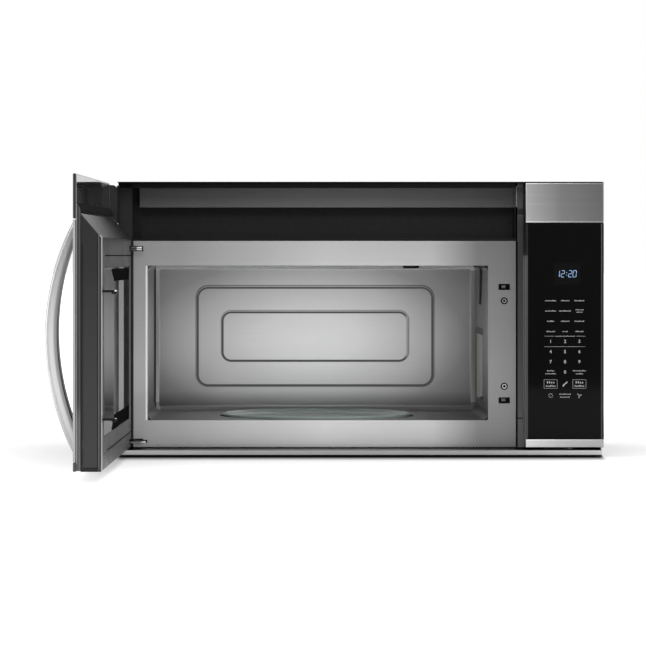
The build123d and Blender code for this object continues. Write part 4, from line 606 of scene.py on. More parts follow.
def winding_finish():
    """Lacquered copper wire, wound in close turns over a stack of thin plates."""
    coil = Finish("wound_copper", Metallic=0.8)
    x, y, z = coil.axes()
    turn = z.saw(WIRE).size()
    cloud = coil.noise(30.0, 3.0)
    coil.give(Base_Color=coil.blend(turn, (0.42, 0.17, 0.06, 1.0), (0.70, 0.33, 0.13, 1.0)),
              Roughness=cloud * 0.2 + 0.25, Normal=coil.relief(turn, 0.0004, 0.8))
    return coil.material


print("Patterned finishes can be made")

# %% [markdown]
# ## Painted light and shade on the oven's steel
# A long sheet in a soft studio light grows darker towards its ends, and the slope of a pressed
# groove shows as a line.  Both are painted into the steel's colour as fades.  Each fade is worked
# out from the place on the sheet, so the painted light stays with the sheet from every side.

# %% Painted light and shade on the oven's front, side walls and floor
front_low, front_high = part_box("front_plate")
oven_low, oven_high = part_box("cavity_wrap")
oven_low = Vector((oven_low.x + 1 * MM, oven_low.y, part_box("cavity_floor")[0].z))
oven_high = oven_high - Vector((1, 0, 1)) * MM
oven_middle = (oven_low + oven_high) / 2
back_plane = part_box("cavity_back")[1].y - 2.0 * MM
CUT_EDGE = -0.3570               # the walls and the floor end here
LIP_BEND = 3.0 * MM
OVEN_FLOOR = -0.159


def plate_painted_light(x, y, z):
    """Painted reflection of the studio light: brightest below the middle, darker towards the ends
    and most of all beside the panel, with a painted highlight on the opening's lip and painted
    shade along the foot.
    """
    along = x.ramp(front_low.x, front_high.x, [(0.0, 0.70), (0.12, 0.66), (0.5, 1.0),
                                               (0.78, 0.86), (0.9, 0.36), (1.0, 0.30)])
    up = z.ramp(front_low.z, front_high.z,
                [(0.0, 0.82), (0.13, 0.92), (0.3, 1.0), (0.4, 1.0), (1.0, 0.80)])
    # the bent lip of the opening gets a painted highlight, and the foot a line of painted shade
    lip = (x.near(oven_low.x - LIP_BEND / 2, LIP_BEND / 2)
           * z.between(OVEN_FLOOR + 0.5 * MM, oven_high.z))
    foot = z.below(front_low.z + 0.3 * MM)
    return along * up * (1 - lip) * (1 - foot * 0.9) + lip * 1.5


def shell_painted_shade(x, y, z):
    """Painted shade: the oven's walls are painted darker partway in, and much darker along their
    cut front edge.
    """
    inwards = y.ramp(oven_low.y, oven_high.y, [(0.0, 1.0), (0.35, 0.74), (0.7, 0.85), (1.0, 1.0)])
    return inwards * (1 - y.below(CUT_EDGE) * 0.9)


def shell_matt_shade(x, y, z):
    """Painted shade: a slanting dark band on the right wall, a painted shadow along the top of the
    right wall under the ceiling, and painted shade in the left wall's back corner; there the steel
    turns matt, with a grey that grows lighter upwards.
    """
    up = z - 0.020
    panel = (y + 0.157 + up * 0.5).size() - up * 0.13
    side_band_shade = x.above(oven_high.x - 3 * MM) * up.above(0.0) * panel.below(0.031) * 0.80
    corner = x.above(oven_high.x - 9 * MM) * z.above(0.0800) * 0.75
    dark_strip = x.below(oven_low.x + 3 * MM) * y.above(-0.075) * 0.70
    return side_band_shade.at_least(corner).at_least(dark_strip), up * 0.15


def floor_painted_shade(x, y, z):
    """Painted shade: the oven's floor is painted darker at its right and at its cut front edge."""
    across = x.ramp(oven_low.x, oven_high.x, [(0.0, 0.9), (0.1, 1.0), (0.7, 1.0), (1.0, 0.55)])
    return across * (1 - y.below(CUT_EDGE) * 0.9)


print("Oven", [round(side, 3) for side in oven_high - oven_low])

# %% [markdown]
# The back wall has two pressed grooves and a rounded rim.  The distance from a groove's outline
# picks out its slope, which turns away from the light and so gets painted shade.

# %% Painted light and shade on the back wall
GROOVE_LEVEL = -0.0346           # the middle of both grooves


def past_groove(x, z, width, height, radius):
    """How far a place on the back wall lies outside a groove's outer line."""
    over_x = (x - oven_middle.x).size() - (width / 2 - radius)
    over_z = (z - GROOVE_LEVEL).size() - (height / 2 - radius)
    beyond = over_x.at_least(0.0).away(over_z.at_least(0.0))
    return beyond + over_x.at_least(over_z).at_most(0.0) - radius


def back_wall_painted_light(x, y, z):
    """Painted light: a pool of light in the middle of the back wall, with painted shade at its
    foot, at its lower left, and inside and beside its grooves.
    """
    across = (x - oven_middle.x + 18 * MM) / (oven_high.x - oven_middle.x)
    above = (z - oven_middle.z - 6 * MM) / (oven_high.z - oven_middle.z)
    lit = across.away(above).ramp(0.0, 1.5, [(0.0, 1.0), (0.22, 0.90), (0.5, 0.60),
                                             (0.68, 0.34), (1.0, 0.16)])
    foot = z.ramp(oven_low.z, oven_high.z, [(0.0, 0.40), (0.11, 0.52), (0.2, 1.0), (1.0, 1.0)])
    # inside the grooves the steel gets painted shade, and their slopes a line of painted shade
    sunk = y.above(back_plane + 0.4 * MM)
    outer = past_groove(x, z, 0.395, 0.166, 0.019)
    inner = past_groove(x, z, 0.312, 0.084, 0.016)
    slope = outer.between(0.0, 2.4 * MM) + inner.between(0.0, 1.6 * MM)
    faint = sunk * x.above(0.086) * inner.below(0.0) * 0.30
    left = x.ramp(oven_low.x, oven_low.x + 0.12, [(0.0, 1.0), (1.0, 0.0)])
    under = z.ramp(OVEN_FLOOR, OVEN_FLOOR + 0.09, [(0.0, 1.0), (1.0, 0.0)])
    shade = 1 - left * (under * 0.3 + 0.08)
    return lit * foot * shade * (1 - sunk) * (1 - slope * 0.55) + sunk * 0.12 + faint


def rim_matt_painted_light(x, y, z):
    """The rounded rim round the back wall is matt, its grey painted lighter at the top and left and
    darker at the foot, with painted shade in the left corner.
    """
    level = (x.below(oven_low.x + 9 * MM) * 0.2 + z.above(oven_high.z - 9 * MM) * 0.4
             - z.below(-0.145) * 0.36 + 0.6)
    return y.below(back_plane - 0.65 * MM), level * (1 - x.below(-0.3318) * 0.95)


print("The grooves lie behind", round(back_plane + 0.4 * MM, 4))

# %% [markdown]
# ## The door seen edge on
# The open door turns its free edge to the camera, and every layer of it shows as a line: sheet
# glass, backing, frame, and the gaps between them.  The layers are flush, so the lines are painted
# into the finish by their place: the gaps as dark joints, the light on each layer's edge as painted
# highlights and the shade beside it as painted shade.

# %% Painted light and shade on the door's free edge
FREE_EDGE = -0.9930              # the door's free edge starts here
SHEET_BACK = -0.4100             # each layer of the door from the front to the back
BACKING_HIGHLIGHT = (-0.4095, -0.4076)
BACKING_SHADOW = (-0.4054, -0.4032)
FRAME_GAP = (-0.4028, -0.4003)
BACK_SHADOW = (-0.3797, -0.3781)
BACK_HIGHLIGHT = (-0.3781, -0.3767)
BACK_PLATE, BACK_CORNER = -0.3762, -0.3765


def door_edge_painted_light(x, y, z):
    """Painted light on the free edge: paler towards its foot, with painted highlights along one
    layer and on the back corner and painted shade along the back; the gap to the frame is a dark
    joint.
    """
    face = y.below(FREE_EDGE)
    foot = z.ramp(-0.20, 0.16, [(0.0, 0.34), (0.5, 0.22), (1.0, 0.03)])
    light = face * x.between(*BACK_HIGHLIGHT)
    dark = face * (x.between(*BACK_SHADOW) + x.above(BACK_PLATE) + x.between(*FRAME_GAP)
                   + z.below(-0.1934))
    corner = y.between(-0.9936, -0.966) * x.above(BACK_CORNER) * z.below(0.148)
    return foot * 0.2 * (1 - dark) * (1 - corner) + light * 0.2 + corner * 0.8, grey(0.48)


def backing_painted_highlight(x, y, z):
    """Between the glass and the deep frame two layers of the free edge are painted paler, as
    painted highlights.
    """
    pale = x.between(*BACKING_HIGHLIGHT) * z.above(-0.1880) + x.between(*BACKING_SHADOW) * 0.25
    return y.below(FREE_EDGE + 1.5 * MM) * pale, grey(0.25)


def glass_edge_painted_highlight(x, y, z):
    """The door's sheet of glass is painted pale on its edge face, as a painted highlight."""
    return y.below(FREE_EDGE) * x.below(SHEET_BACK), grey(0.42)


def band_end_painted_shade(x, y, z):
    """Painted shade: the folded end of the door's band is painted darker than its face."""
    return 1 - y.below(FREE_EDGE) * 0.84


print("The layers show beyond", FREE_EDGE)

# %% [markdown]
# The handle is a bent bar with three bands of painted light along its side.  The latch hooks and
# the hinge arms get painted highlights only at their tips.

# %% The handle, the hooks and the hinge arms
BOW_MIDDLE = -0.010              # the height at which the handle stands out furthest
BOW_EDGE, BOW_DEEP = -0.4541, 0.0192
BOW_CURVE = 1.465
ARM_START, ARM_END = -0.360, -0.340
LOW_ARM_TOP = -0.1914
UPPER_SPOT, LOWER_SPOT, SPOT_HALF, SPOT_START = 0.0511, -0.1257, 0.0014, -0.3568


def bow_painted_light(x, y, z):
    """Painted light across the handle's side: a painted highlight from the outside inwards, then
    grey, then painted shade that is nearly black.
    """
    up = z - BOW_MIDDLE
    side = (x - BOW_EDGE - up * up * BOW_CURVE).ramp(0.0, BOW_DEEP, [
        (0.0, 0.58), (0.12, 0.52), (0.38, 0.85), (0.6, 0.78), (0.70, 0.42), (0.88, 0.28),
        (0.92, 0.03), (1.0, 0.03)])
    return side * up.size().ramp(0.0, 0.17, [(0.0, 1.0), (0.45, 0.86), (1.0, 0.50)])


def hook_painted_glint(x, y, z):
    """A painted glint on one spot of each latch hook's tip."""
    spot = z.near(UPPER_SPOT, SPOT_HALF) + z.near(LOWER_SPOT, SPOT_HALF)
    return spot * x.above(SPOT_START), grey(0.95)


def arm_painted_light(x, y, z):
    """Painted light: the hinge arm is painted dark where it leaves the door, with a painted
    highlight at its end.
    """
    return x.ramp(ARM_START, ARM_END,
                  [(0.0, 0.12), (0.45, 0.16), (0.6, 1.0), (0.88, 1.0), (0.92, 0.1)])


def low_arm_painted_light(x, y, z):
    """Painted light: the lower arm has a painted highlight only at its end, and a painted shadow,
    nearly black, along its top.
    """
    along = x.ramp(ARM_START, ARM_END, [(0.0, 0.25), (0.75, 0.22), (0.92, 0.60), (1.0, 1.0)])
    return along * (1 - z.above(LOW_ARM_TOP) * 0.97)


print("The handle is brightest at", round(BOW_EDGE + 0.38 * BOW_DEEP, 4))

# %% [markdown]
# ## The outlet, the control panel and the strips of steel
# The mouldings round the panel get painted reflections of the pale room where they turn towards
# it, and each strip of steel gets painted light that fades along its length.

# %% Painted light on the outlet, the panel and the strips
panel_low, panel_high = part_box("panel_glass")
strip_low, strip_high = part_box("base_front_strip")
cap_low, cap_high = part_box("panel_top_block")
OUTLET_BAND = (0.1755, 0.2060)
OUTLET_MIDDLE, OUTLET_HALF = -0.0512, 0.2968
FLANGE_END, LINE_END = 0.2566, 0.2589
FLANGE_STEP, FLANGE_LEDGE, TOP_LEDGE = (0.1638, 0.1733), (0.1615, 0.1638), (0.2067, 0.2115)
GLASS_STEP = 0.100               # the panel's glass is set back below this height


def vent_band_painted_sheen(x, y, z):
    """Painted sheen: the smooth band over the outlet is painted grey, most in its middle."""
    band = z.between(*OUTLET_BAND) * x.near(OUTLET_MIDDLE, OUTLET_HALF)
    return band * x.ramp(-0.36, 0.24, [(0.0, 0.66), (0.45, 1.0), (0.6, 1.0), (1.0, 0.62)]), \
        grey(0.135)


def cabinet_post_painted_light(x, y, z):
    """Painted light: the post at the left of the outlet is painted a little paler than the rest."""
    return x.between(-0.3790, -0.355) * y.below(-0.3) * z.between(0.10, 0.206), grey(0.030)


def panel_glass_painted_highlight(x, y, z):
    """Painted highlights: the polished edges of the control glass are painted as thin grey lines.
    """
    left = x.below(panel_low.x + 2.6 * MM)
    return left * (z.below(GLASS_STEP) * 0.7 + 0.3) + x.between(0.3751, 0.3772), grey(0.075)


def flange_painted_light(x, y, z):
    """Painted light on the panel's left flange: grey that changes with height, painted shade at its
    steps, painted highlights on its ledges and a thin painted highlight beside the glass.
    """
    up = z.ramp(-0.20, 0.22, [(0.0, 0.84), (0.1, 0.80), (0.143, 0.62), (0.364, 0.42),
                              (0.733, 0.255), (0.83, 0.23), (0.9, 0.44), (1.0, 0.44)])
    step = z.between(*FLANGE_STEP) + z.near(-0.1557, 0.0013)
    ledge = z.between(*TOP_LEDGE) + z.between(*FLANGE_LEDGE)
    line = x.between(FLANGE_END, LINE_END) * z.below(GLASS_STEP)
    return x.below(FLANGE_END) * (up * (1 - step * 0.75) + ledge * 0.18) + line * 0.9, grey(0.20)


def panel_cap_painted_light(x, y, z):
    """Painted light on the steel over the panel: darker to its right, with painted shade along its
    top and a painted highlight on its lower fold.
    """
    along = x.ramp(panel_low.x, panel_high.x,
                   [(0.0, 0.88), (0.12, 0.74), (0.45, 0.45), (1.0, 0.30)])
    top = z.above(cap_high.z - 0.9 * MM)
    return along * (1 - top * 0.97) * (1 + z.below(cap_low.z + 1.5 * MM) * 0.9)


def sill_painted_light(x, y, z):
    """Painted light on the strip under the panel: it fades the same way, but less."""
    return x.ramp(panel_low.x, panel_high.x, [(0.0, 1.0), (0.5, 0.70), (1.0, 0.57)])


def base_strip_painted_light(x, y, z):
    """Painted light on the strip along the bottom: brightest at its ends, with painted shade along
    its lower and upper edges.
    """
    along = x.ramp(strip_low.x, strip_high.x,
                   [(0.0, 1.0), (0.25, 0.74), (0.75, 0.68), (0.9, 0.9), (1.0, 1.0)])
    edge = z.below(strip_low.z + 1.5 * MM).at_least(z.above(strip_high.z - 0.8 * MM))
    return along * (1 - edge * 0.97)


print("Panel", round((panel_high.x - panel_low.x) / MM, 1), "mm wide")

# %% [markdown]
# ## Giving the solids their finishes
# The record names a material for every solid, so one table from that name to a finish is enough.
# A second table holds the solids whose finish carries painted light and shade, as fades and lines.

# %% Make the finishes and hand them out
finishes = {
    "painted_cabinet": moulded("black_satin_paint", 0.004, 0.4, 0.25, 500.0, 0.05,
                               cabinet_post_painted_light),
    "galvanised": zinc("zinc_plate", 0.42),
    "stainless": brushed("brushed_stainless", 0.42, BRUSHED_X, 0.3),
    "cavity_steel": brushed("satin_stainless", 0.40, OVEN_GRAIN, 0.36),
    "handle_steel": brushed("handle_stainless", 0.95, BRUSHED_Z, 0.30, bow_painted_light),
    "black_plastic": moulded("black_moulding", 0.006, 0.45),
    "gloss_black": polished("polished_black_moulding", 0.026, 0.05),
    "grey_plastic": moulded("dark_grey_moulding", 0.022, 0.36, 0.2),
    "black_glass": polished("black_printed_glass", 0.004, 0.04, 0.08),
    "dark_window": polished("smoked_window", 0.008, 0.03),
    "tray_glass": clear("tray_glass", (0.88, 1.0, 0.97, 1.0), 0.14, 0.72),
    "screen_steel": screen_finish(),
    "mica": mica_finish(),
    "white_plastic": moulded("white_moulding", 0.72, 0.4, 0.2, gloss=0.5),
    "screw_steel": brushed("bright_steel", 0.7, EVEN_GRAIN, 0.2),
    "hinge_steel": zinc("hinge_plating", 0.5),
    "spring_steel": brushed("spring_wire", 0.6, EVEN_GRAIN, 0.2),
    "filter_mesh": filter_finish(),
    "charcoal": foam_finish(),
    "lens_glass": clear("frosted_lens", grey(0.86), 0.45),
    "lamp": clear("lamp_glass", (0.98, 0.95, 0.86, 1.0), 0.08),
    "circuit_board": board_finish(),
    "copper": winding_finish(),
    "rubber_part": moulded("black_rubber", 0.012, 0.75, 0.6, 400.0),
}
by_node = {
    "front_plate": brushed("oven_front_steel", 0.74, BRUSHED_X, 0.34, plate_painted_light),
    "cavity_back": brushed("back_wall_steel", 1.0, OVEN_GRAIN, 0.4, back_wall_painted_light, rim_matt_painted_light),
    "cavity_wrap": brushed("oven_wall_steel", 0.40, OVEN_GRAIN, 0.36, shell_painted_shade, shell_matt_shade),
    "cavity_floor": brushed("oven_floor_steel", 0.32, OVEN_GRAIN, 0.36, floor_painted_shade),
    "vent_grille": moulded("vent_moulding", 0.006, 0.45, painted_light=vent_band_painted_sheen),
    "base_plate": moulded("grey_base_paint", 0.010, 0.5, gloss=0.1),
    "panel_frame": moulded("panel_moulding", 0.010, 0.4, painted_light=flange_painted_light),
    "door_inner_frame": moulded("door_moulding", 0.018, 0.36, 0.2, painted_light=door_edge_painted_light),
    "door_front_frame": polished("door_backing", 0.034, 0.05, painted_light=backing_painted_highlight),
    "door_top_strip": brushed("door_band_steel", 0.5, BRUSHED_Y, 0.3, band_end_painted_shade),
    "door_bottom_strip": brushed("door_foot_steel", 0.5, BRUSHED_Y, 0.3, band_end_painted_shade),
    "door_inner_window": film_finish(),
    "door_glass": polished("door_sheet_glass", 0.004, 0.04, 0.22, glass_edge_painted_highlight),
    "panel_glass": polished("control_glass", 0.004, 0.04, 0.04, panel_glass_painted_highlight),
    "latch_hooks": moulded("hook_moulding", 0.006, 0.45, painted_light=hook_painted_glint),
    "hinge_upper": brushed("hinge_arm_steel", 0.9, EVEN_GRAIN, 0.25, arm_painted_light),
    "hinge_lower": brushed("hinge_arm_steel_low", 0.9, EVEN_GRAIN, 0.25, low_arm_painted_light),
    "panel_top_block": brushed("panel_cap_steel", 0.70, BRUSHED_X, 0.3, panel_cap_painted_light),
    "panel_bottom_strip": brushed("panel_sill_steel", 0.73, BRUSHED_X, 0.3, sill_painted_light),
    "base_front_strip": brushed("base_strip_steel", 0.70, BRUSHED_X, 0.3, base_strip_painted_light),
}
for node, slot in slot_of.items():
    solids[node].data.materials.clear()
    solids[node].data.materials.append(by_node.get(node, finishes[slot]))
print(len(finishes), "finishes on", len(solids), "solids")

# %% [markdown]
# ## The lens and where it stands
# The picture is a crop from a wider one, so its vanishing point isn't in its middle.  The camera
# stands level in front of the oven and its film is shifted instead of turned: turning it would
# make the upright edges lean.

# %% Put up the camera
PICTURE = 646                       # pixels along each side
VANISHING_POINT = (272.0, 256.1)    # the pixel straight ahead of the lens
LENS = 188.4                        # millimetres, on a 36 mm film
CAMERA_PLACE = (-0.1379, -5.670, 0.0989)

bpy.ops.object.camera_add(location=CAMERA_PLACE, rotation=(math.pi / 2, 0, 0))
camera = bpy.context.object
camera.data.lens = LENS
camera.data.shift_x = (PICTURE / 2 - VANISHING_POINT[0]) / PICTURE
camera.data.shift_y = (VANISHING_POINT[1] - PICTURE / 2) / PICTURE
bpy.context.scene.camera = camera
print("Film shift", round(camera.data.shift_x, 4), round(camera.data.shift_y, 4))

# %% [markdown]
# ## A pale studio
# Steel shows what stands round it more than its own colour.  So the room matters: a wide soft
# lamp in front and above, a weaker one from each side, and an even pale surround that fills the
# shadows.

# %% Hang the lamps
def soft_lamp(name, place, size, power):
    """A square area lamp that faces the middle of the oven."""
    bpy.ops.object.light_add(type="AREA", location=place)
    lamp = bpy.context.object
    lamp.name = name
    lamp.data.shape = "RECTANGLE"
    lamp.data.size, lamp.data.size_y = size
    lamp.data.energy = power
    middle = (solid_box[0] + solid_box[1]) / 2
    lamp.rotation_euler = (Vector(place) - middle).to_track_quat("Z", "Y").to_euler()


LAMPS = {"front_lamp": ((0.2, -4.0, 2.6), (3.0, 1.6), 64.0),
         "left_lamp": ((-3.6, -2.4, 1.2), (2.4, 3.2), 38.0),
         "right_lamp": ((3.6, -2.4, 1.2), (1.6, 2.4), 28.0),
         "top_lamp": ((0.0, -0.3, 3.2), (3.0, 3.0), 40.0)}
for name, (place, size, power) in LAMPS.items():
    soft_lamp(name, place, size, power)
print("Lamps give", sum(power for place, size, power in LAMPS.values()), "watts")

# %% [markdown]
# The surround is white behind the oven and in every mirror image of what lies behind it.  Behind
# the camera the studio is dark, as it is in life, so that black glass stays black.

# %% Light the room
ROOM_LIGHT = 0.48                # on plain surfaces
DARK_SIDE = 0.10                 # what glass mirrors, straight back towards the camera
DARK_FROM, DARK_TO = 0.93, 0.985


class Air(Finish):
    """The world's own tree, worked with the same sums."""

    def __init__(self, world):
        self.tree = world.node_tree
        self.skin = self.tree.nodes["Background"]


room = bpy.data.worlds.new("pale_room")
room.use_nodes = True
air = Air(room)
way = air.add("ShaderNodeTexCoord", output="Generated")
forward = 0 - air.add("ShaderNodeSeparateXYZ", {0: way}, "Y")
dark = forward.slide(DARK_FROM, DARK_TO, 1.0, DARK_SIDE, "SMOOTHSTEP")
straight, glossy, through = air.add("ShaderNodeLightPath", output=[
    "Is Camera Ray", "Is Glossy Ray", "Is Transmission Ray"])
mirrored = glossy.at_least(through)
plain = 1 - straight.at_least(mirrored)
air.give(Strength=straight + mirrored * (1 - straight) * dark + plain * ROOM_LIGHT,
         Color=grey(1.0))
bpy.context.scene.world = room
bpy.context.scene.view_settings.view_transform = "Standard"
print("The room's tree has", len(air.tree.nodes), "nodes")

# %% [markdown]
# The ground is pale and keeps the soft shadow under the oven; close round the oven's foot a
# contact shadow is painted into its colour.  Far from the oven it glows a little in the camera's
# eye and in mirrors, so it runs into the white surround without a seam.

# %% Lay the ground
FLOOR_REACH = 60.0
FLOOR_FRONT = -3.2               # just nearer than the picture's lower edge
GROUND_GAP = 0.5 * MM
# the contact shadow is painted into the ground's colour
CONTACT = 0.09                   # the contact shadow ends this far from the oven's foot
FOOT_SIDE = 0.372                # half the width of the oven's foot
FOOT_MIDDLE, FOOT_DEEP = -0.20, 0.188
NEAR_GLOW, GLOW_FROM, GLOW_TO = 0.30, 0.5, 1.5

bpy.ops.mesh.primitive_plane_add(
    size=FLOOR_REACH, location=(0, FLOOR_FRONT + FLOOR_REACH / 2, solid_box[0].z - GROUND_GAP))
ground = settle("ground")
ground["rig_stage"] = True
pale = Finish("pale_ground", Roughness=0.9, Specular_IOR_Level=0.0)
mottle = pale.noise(0.7)
x, y, z = pale.axes()
# painted contact shadow: the ground runs from black at the oven's foot to pale within CONTACT
beside = (x.size() - FOOT_SIDE).at_least(0.0) * 8
before = ((y - FOOT_MIDDLE).size() - FOOT_DEEP).at_least(0.0)
past_painted_shadow = beside.away(before).slide(0.0, CONTACT, 0.04, 1.0)
pale.give(Base_Color=pale.blend(past_painted_shadow, grey(0.0), pale.blend(mottle, grey(0.86), grey(0.90))))
far = x.away(y).slide(GLOW_FROM, GLOW_TO, NEAR_GLOW, 1.0, "SMOOTHSTEP")
straight, glossy = pale.add("ShaderNodeLightPath", output=["Is Camera Ray", "Is Glossy Ray"])
lift = pale.add("ShaderNodeEmission", {"Color": grey(1.0),
                                       "Strength": straight.at_least(glossy) * far * past_painted_shadow})
both = pale.add("ShaderNodeAddShader", {0: Value(pale, pale.skin.outputs[0]), 1: lift})
pale.feed(pale.tree.nodes["Material Output"].inputs["Surface"], both)
ground.data.materials.append(pale.material)
print("The ground lies at", round(solid_box[0].z - GROUND_GAP, 4), "m")

# %% [markdown]
# ## Easing the edges of folded steel and mouldings
# A solid straight from a drawing has perfectly sharp edges, and nothing real has.  A bend in
# sheet steel or the lip of a moulding always catches a thin line of light.  A merged copy of
# each solid that shows gets a small bevel and smooth shading, and then stands in for it.

# %% Ease what shows
EASED = {                        # how wide the rounding is, in millimetres
    "cabinet_wrap": 0.4, "rear_panel": 0.3, "wall_mounting_plate": 0.4, "front_plate": 0.4,
    "base_front_strip": 0.5, "panel_frame": 0.5, "panel_top_block": 0.4, "panel_bottom_strip": 0.4,
    "vent_grille": 0.6, "door_top_strip": 0.3, "door_bottom_strip": 0.4, "door_front_frame": 0.4,
    "door_inner_frame": 0.8, "door_handle": 0.5, "hinge_upper": 0.6, "hinge_lower": 0.6,
    "latch_hooks": 0.4, "panel_glass": 0.2, "door_glass": 0.2, "base_plate": 0.3,
    "interlock_bracket": 0.4, "cord_gland": 0.6, "grease_filter_left": 0.5,
    "grease_filter_right": 0.5,
}
eased = {node: softened(node, node.replace("_", "-"), width * MM) for node, width in EASED.items()}
faces = sum(len(piece.data.polygons) for piece in eased.values())
print("Eased", len(eased), "pieces,", faces, "faces")

# %% [markdown]
# ## Square corners for the oven's opening
# The solid's opening has round corners, and the real one is folded square.  Every point of a
# round corner is pushed out along its own ray until it lies on the square, so each ring of the
# bend keeps its shape.

# %% Push the four corners out
CORNER = 10 * MM                 # the radius of the opening's corners
CORNER_REACH = CORNER + 4.5 * MM


def square_corner(piece, centre_x, centre_z):
    """Push one round corner of an opening out to a square one."""
    mesh = bmesh.new()
    mesh.from_mesh(piece.data)
    moved = 0
    for vert in mesh.verts:
        across, up = vert.co.x - centre_x, vert.co.z - centre_z
        outside = (across * math.copysign(1, centre_x - oven_middle.x) >= 0
                   and up * math.copysign(1, centre_z - oven_middle.z) >= 0)
        away = math.hypot(across, up)
        if outside and 0 < away < CORNER_REACH:
            grow = away / max(abs(across), abs(up))
            vert.co.x, vert.co.z = centre_x + across * grow, centre_z + up * grow
            moved += 1
    mesh.to_mesh(piece.data)
    mesh.free()
    return moved


moved = 0
for side_x in (oven_low.x + CORNER, oven_high.x - CORNER):
    for side_z in (OVEN_FLOOR + CORNER, oven_high.z - CORNER):
        moved += square_corner(eased["front_plate"], side_x, side_z)
use_modifier(eased["front_plate"], "WEIGHTED_NORMAL", keep_sharp=True)
print(moved, "points moved")

# %% [markdown]
# ## The print on the control glass
# Keys on a glass panel are only printed: short words, figures and lines in grey ink behind a
# flat sheet.  The figures are made as text and turned to mesh.  The words say nothing here, so
# each is a run of small strokes of the same length and height, copied from one rounded stroke.

# %% One stroke of ink, and runs of it
INK = 0.05 * MM
GLASS_FACE = panel_low.y
KEY_MIDDLE = (panel_low.x + panel_high.x) / 2 - 0.1 * MM
KEY_STEP = 22.4 * MM
ROW_STEP = 16.0 * MM
FIRST_ROW = 29.5 * MM
columns = [KEY_MIDDLE - KEY_STEP, KEY_MIDDLE, KEY_MIDDLE + KEY_STEP]
LETTERS = (1.0, 0.7, 0.8, 0.7, 1.0, 0.72, 0.7, 0.9, 0.7)    # how tall the strokes of a word are
LETTER_PITCH = 0.86              # from stroke to stroke, as a share of a word's height
STROKE_SHARE = 0.62              # how much of the pitch a stroke fills
printed = []

stroke = start_block("stroke", (-0.5 * MM, GLASS_FACE - INK, -0.5 * MM),
                     (0.5 * MM, GLASS_FACE, 0.5 * MM))
with editing(stroke) as select:
    select("edges", lambda place, normal: abs(place.y - GLASS_FACE + INK / 2) < INK / 4)
    bpy.ops.mesh.bevel(offset=0.22 * MM, segments=2, affect="EDGES")


def ink(x, z, width, height):
    """A copy of the stroke at a place on the glass, stretched to a width and height."""
    stretch = Matrix.Diagonal((width / MM, 1.0, height / MM, 1.0))
    return copy_of(stroke, "ink", Matrix.Translation((x, 0, z)) @ stretch)


def words(x, z, *rows):
    """Rows of strokes, uneven as letters are.  Each has its rise over the middle of the key, its
    length and its height, in millimetres."""
    for rise, length, height in rows:
        length, height = length * MM, height * MM
        pitch = height * LETTER_PITCH
        count = max(2, round(length / pitch))
        for number in range(count):
            tall = height * LETTERS[(number * 5 + count) % len(LETTERS)]
            along = x + (number - (count - 1) / 2) * length / count
            up = z + rise * MM + (tall - height) / 2
            printed.append(ink(along, up, pitch * STROKE_SHARE, tall))


print("Stroke has", len(stroke.data.polygons), "faces")

# %% [markdown]
# The upper keys are four rows of words.  Under a rule come the figures, in three columns, and
# the last figure has two words on each side.

# %% The words, figures and lines
WORD_LENGTHS = ((17.5, 13.4, 15.5), (17.5, 18.5, 13.0), (11.4, 13.8, 15.5), (13.8, 8.9, 13.0))
LINE = 0.45 * MM
RULE_Z = FIRST_ROW - 3 * ROW_STEP - 7.4 * MM
RULE_END = KEY_STEP + 9.5 * MM
FIGURES_TOP = RULE_Z - 8.4 * MM
FIGURE_STEP = 15.9 * MM
FIGURE_HEIGHT = 5.2 * MM
ZERO_Z = FIGURES_TOP - 3 * FIGURE_STEP


def figure(text, x, z):
    """A printed figure, made as text and turned to mesh."""
    bpy.ops.object.select_all(action="DESELECT")
    bpy.ops.object.text_add(location=(x, GLASS_FACE - INK / 2, z), rotation=(math.pi / 2, 0, 0))
    letter = bpy.context.object.data
    letter.body = text
    letter.size = FIGURE_HEIGHT * 1.37
    letter.align_x = letter.align_y = "CENTER"
    letter.extrude = INK / 2
    letter.offset = 0.12 * MM
    letter.resolution_u = 4
    bpy.ops.object.convert(target="MESH")
    return settle("figure")


for row, lengths in enumerate(WORD_LENGTHS):
    z = FIRST_ROW - row * ROW_STEP
    for column, length in zip(columns, lengths):
        if (row, column) == (1, columns[2]):
            words(column, z, (1.9, length, 1.8), (-1.9, 10.0, 1.8))
        else:
            words(column, z, (0, length, 2.0))
for side in (-1, 1):
    printed.append(ink(KEY_MIDDLE + side * 24.3 * MM, RULE_Z, 15.0 * MM, LINE))
words(KEY_MIDDLE, RULE_Z, (0, 31.0, 1.5))
for number in range(9):
    printed.append(figure(str(number + 1), columns[number % 3],
                          FIGURES_TOP - number // 3 * FIGURE_STEP))
printed.append(figure("0", KEY_MIDDLE, ZERO_Z))
printed.append(ink(KEY_MIDDLE, FIGURES_TOP - FIGURE_STEP / 2, 2 * RULE_END, LINE))
for column, upper, lower in ((columns[0], 11.5, 17.0), (columns[2], 20.5, 11.5)):
    words(column, ZERO_Z, (2.2, upper, 1.9), (-2.4, lower, 1.9))
print("Printed", len(printed), "marks")

# %% [markdown]
# Two keys at the bottom are framed.  Small signs stand between them and under them: two slanting
# ovals, a ring of short strokes and a wheel of three.  Every sign is made of flat ovals.

# %% Framed keys, and the small signs between them
FRAME_Z = ZERO_Z - 18.5 * MM
FRAME_WIDE = 20.6 * MM
FRAME_TALL = 13.4 * MM
LAST_Z = FRAME_Z - 18.0 * MM
RING, RING_PARTS = 2.9 * MM, 14
WHEEL = 2.2 * MM


def oval(x, z, width, height, turn):
    """A flat printed oval."""
    bpy.ops.object.select_all(action="DESELECT")
    bpy.ops.mesh.primitive_cylinder_add(vertices=16, radius=0.5, depth=INK,
                                        location=(x, GLASS_FACE - INK / 2, z),
                                        rotation=(math.pi / 2, turn, 0))
    bpy.context.object.scale = (width, height, 1)
    return settle("oval")


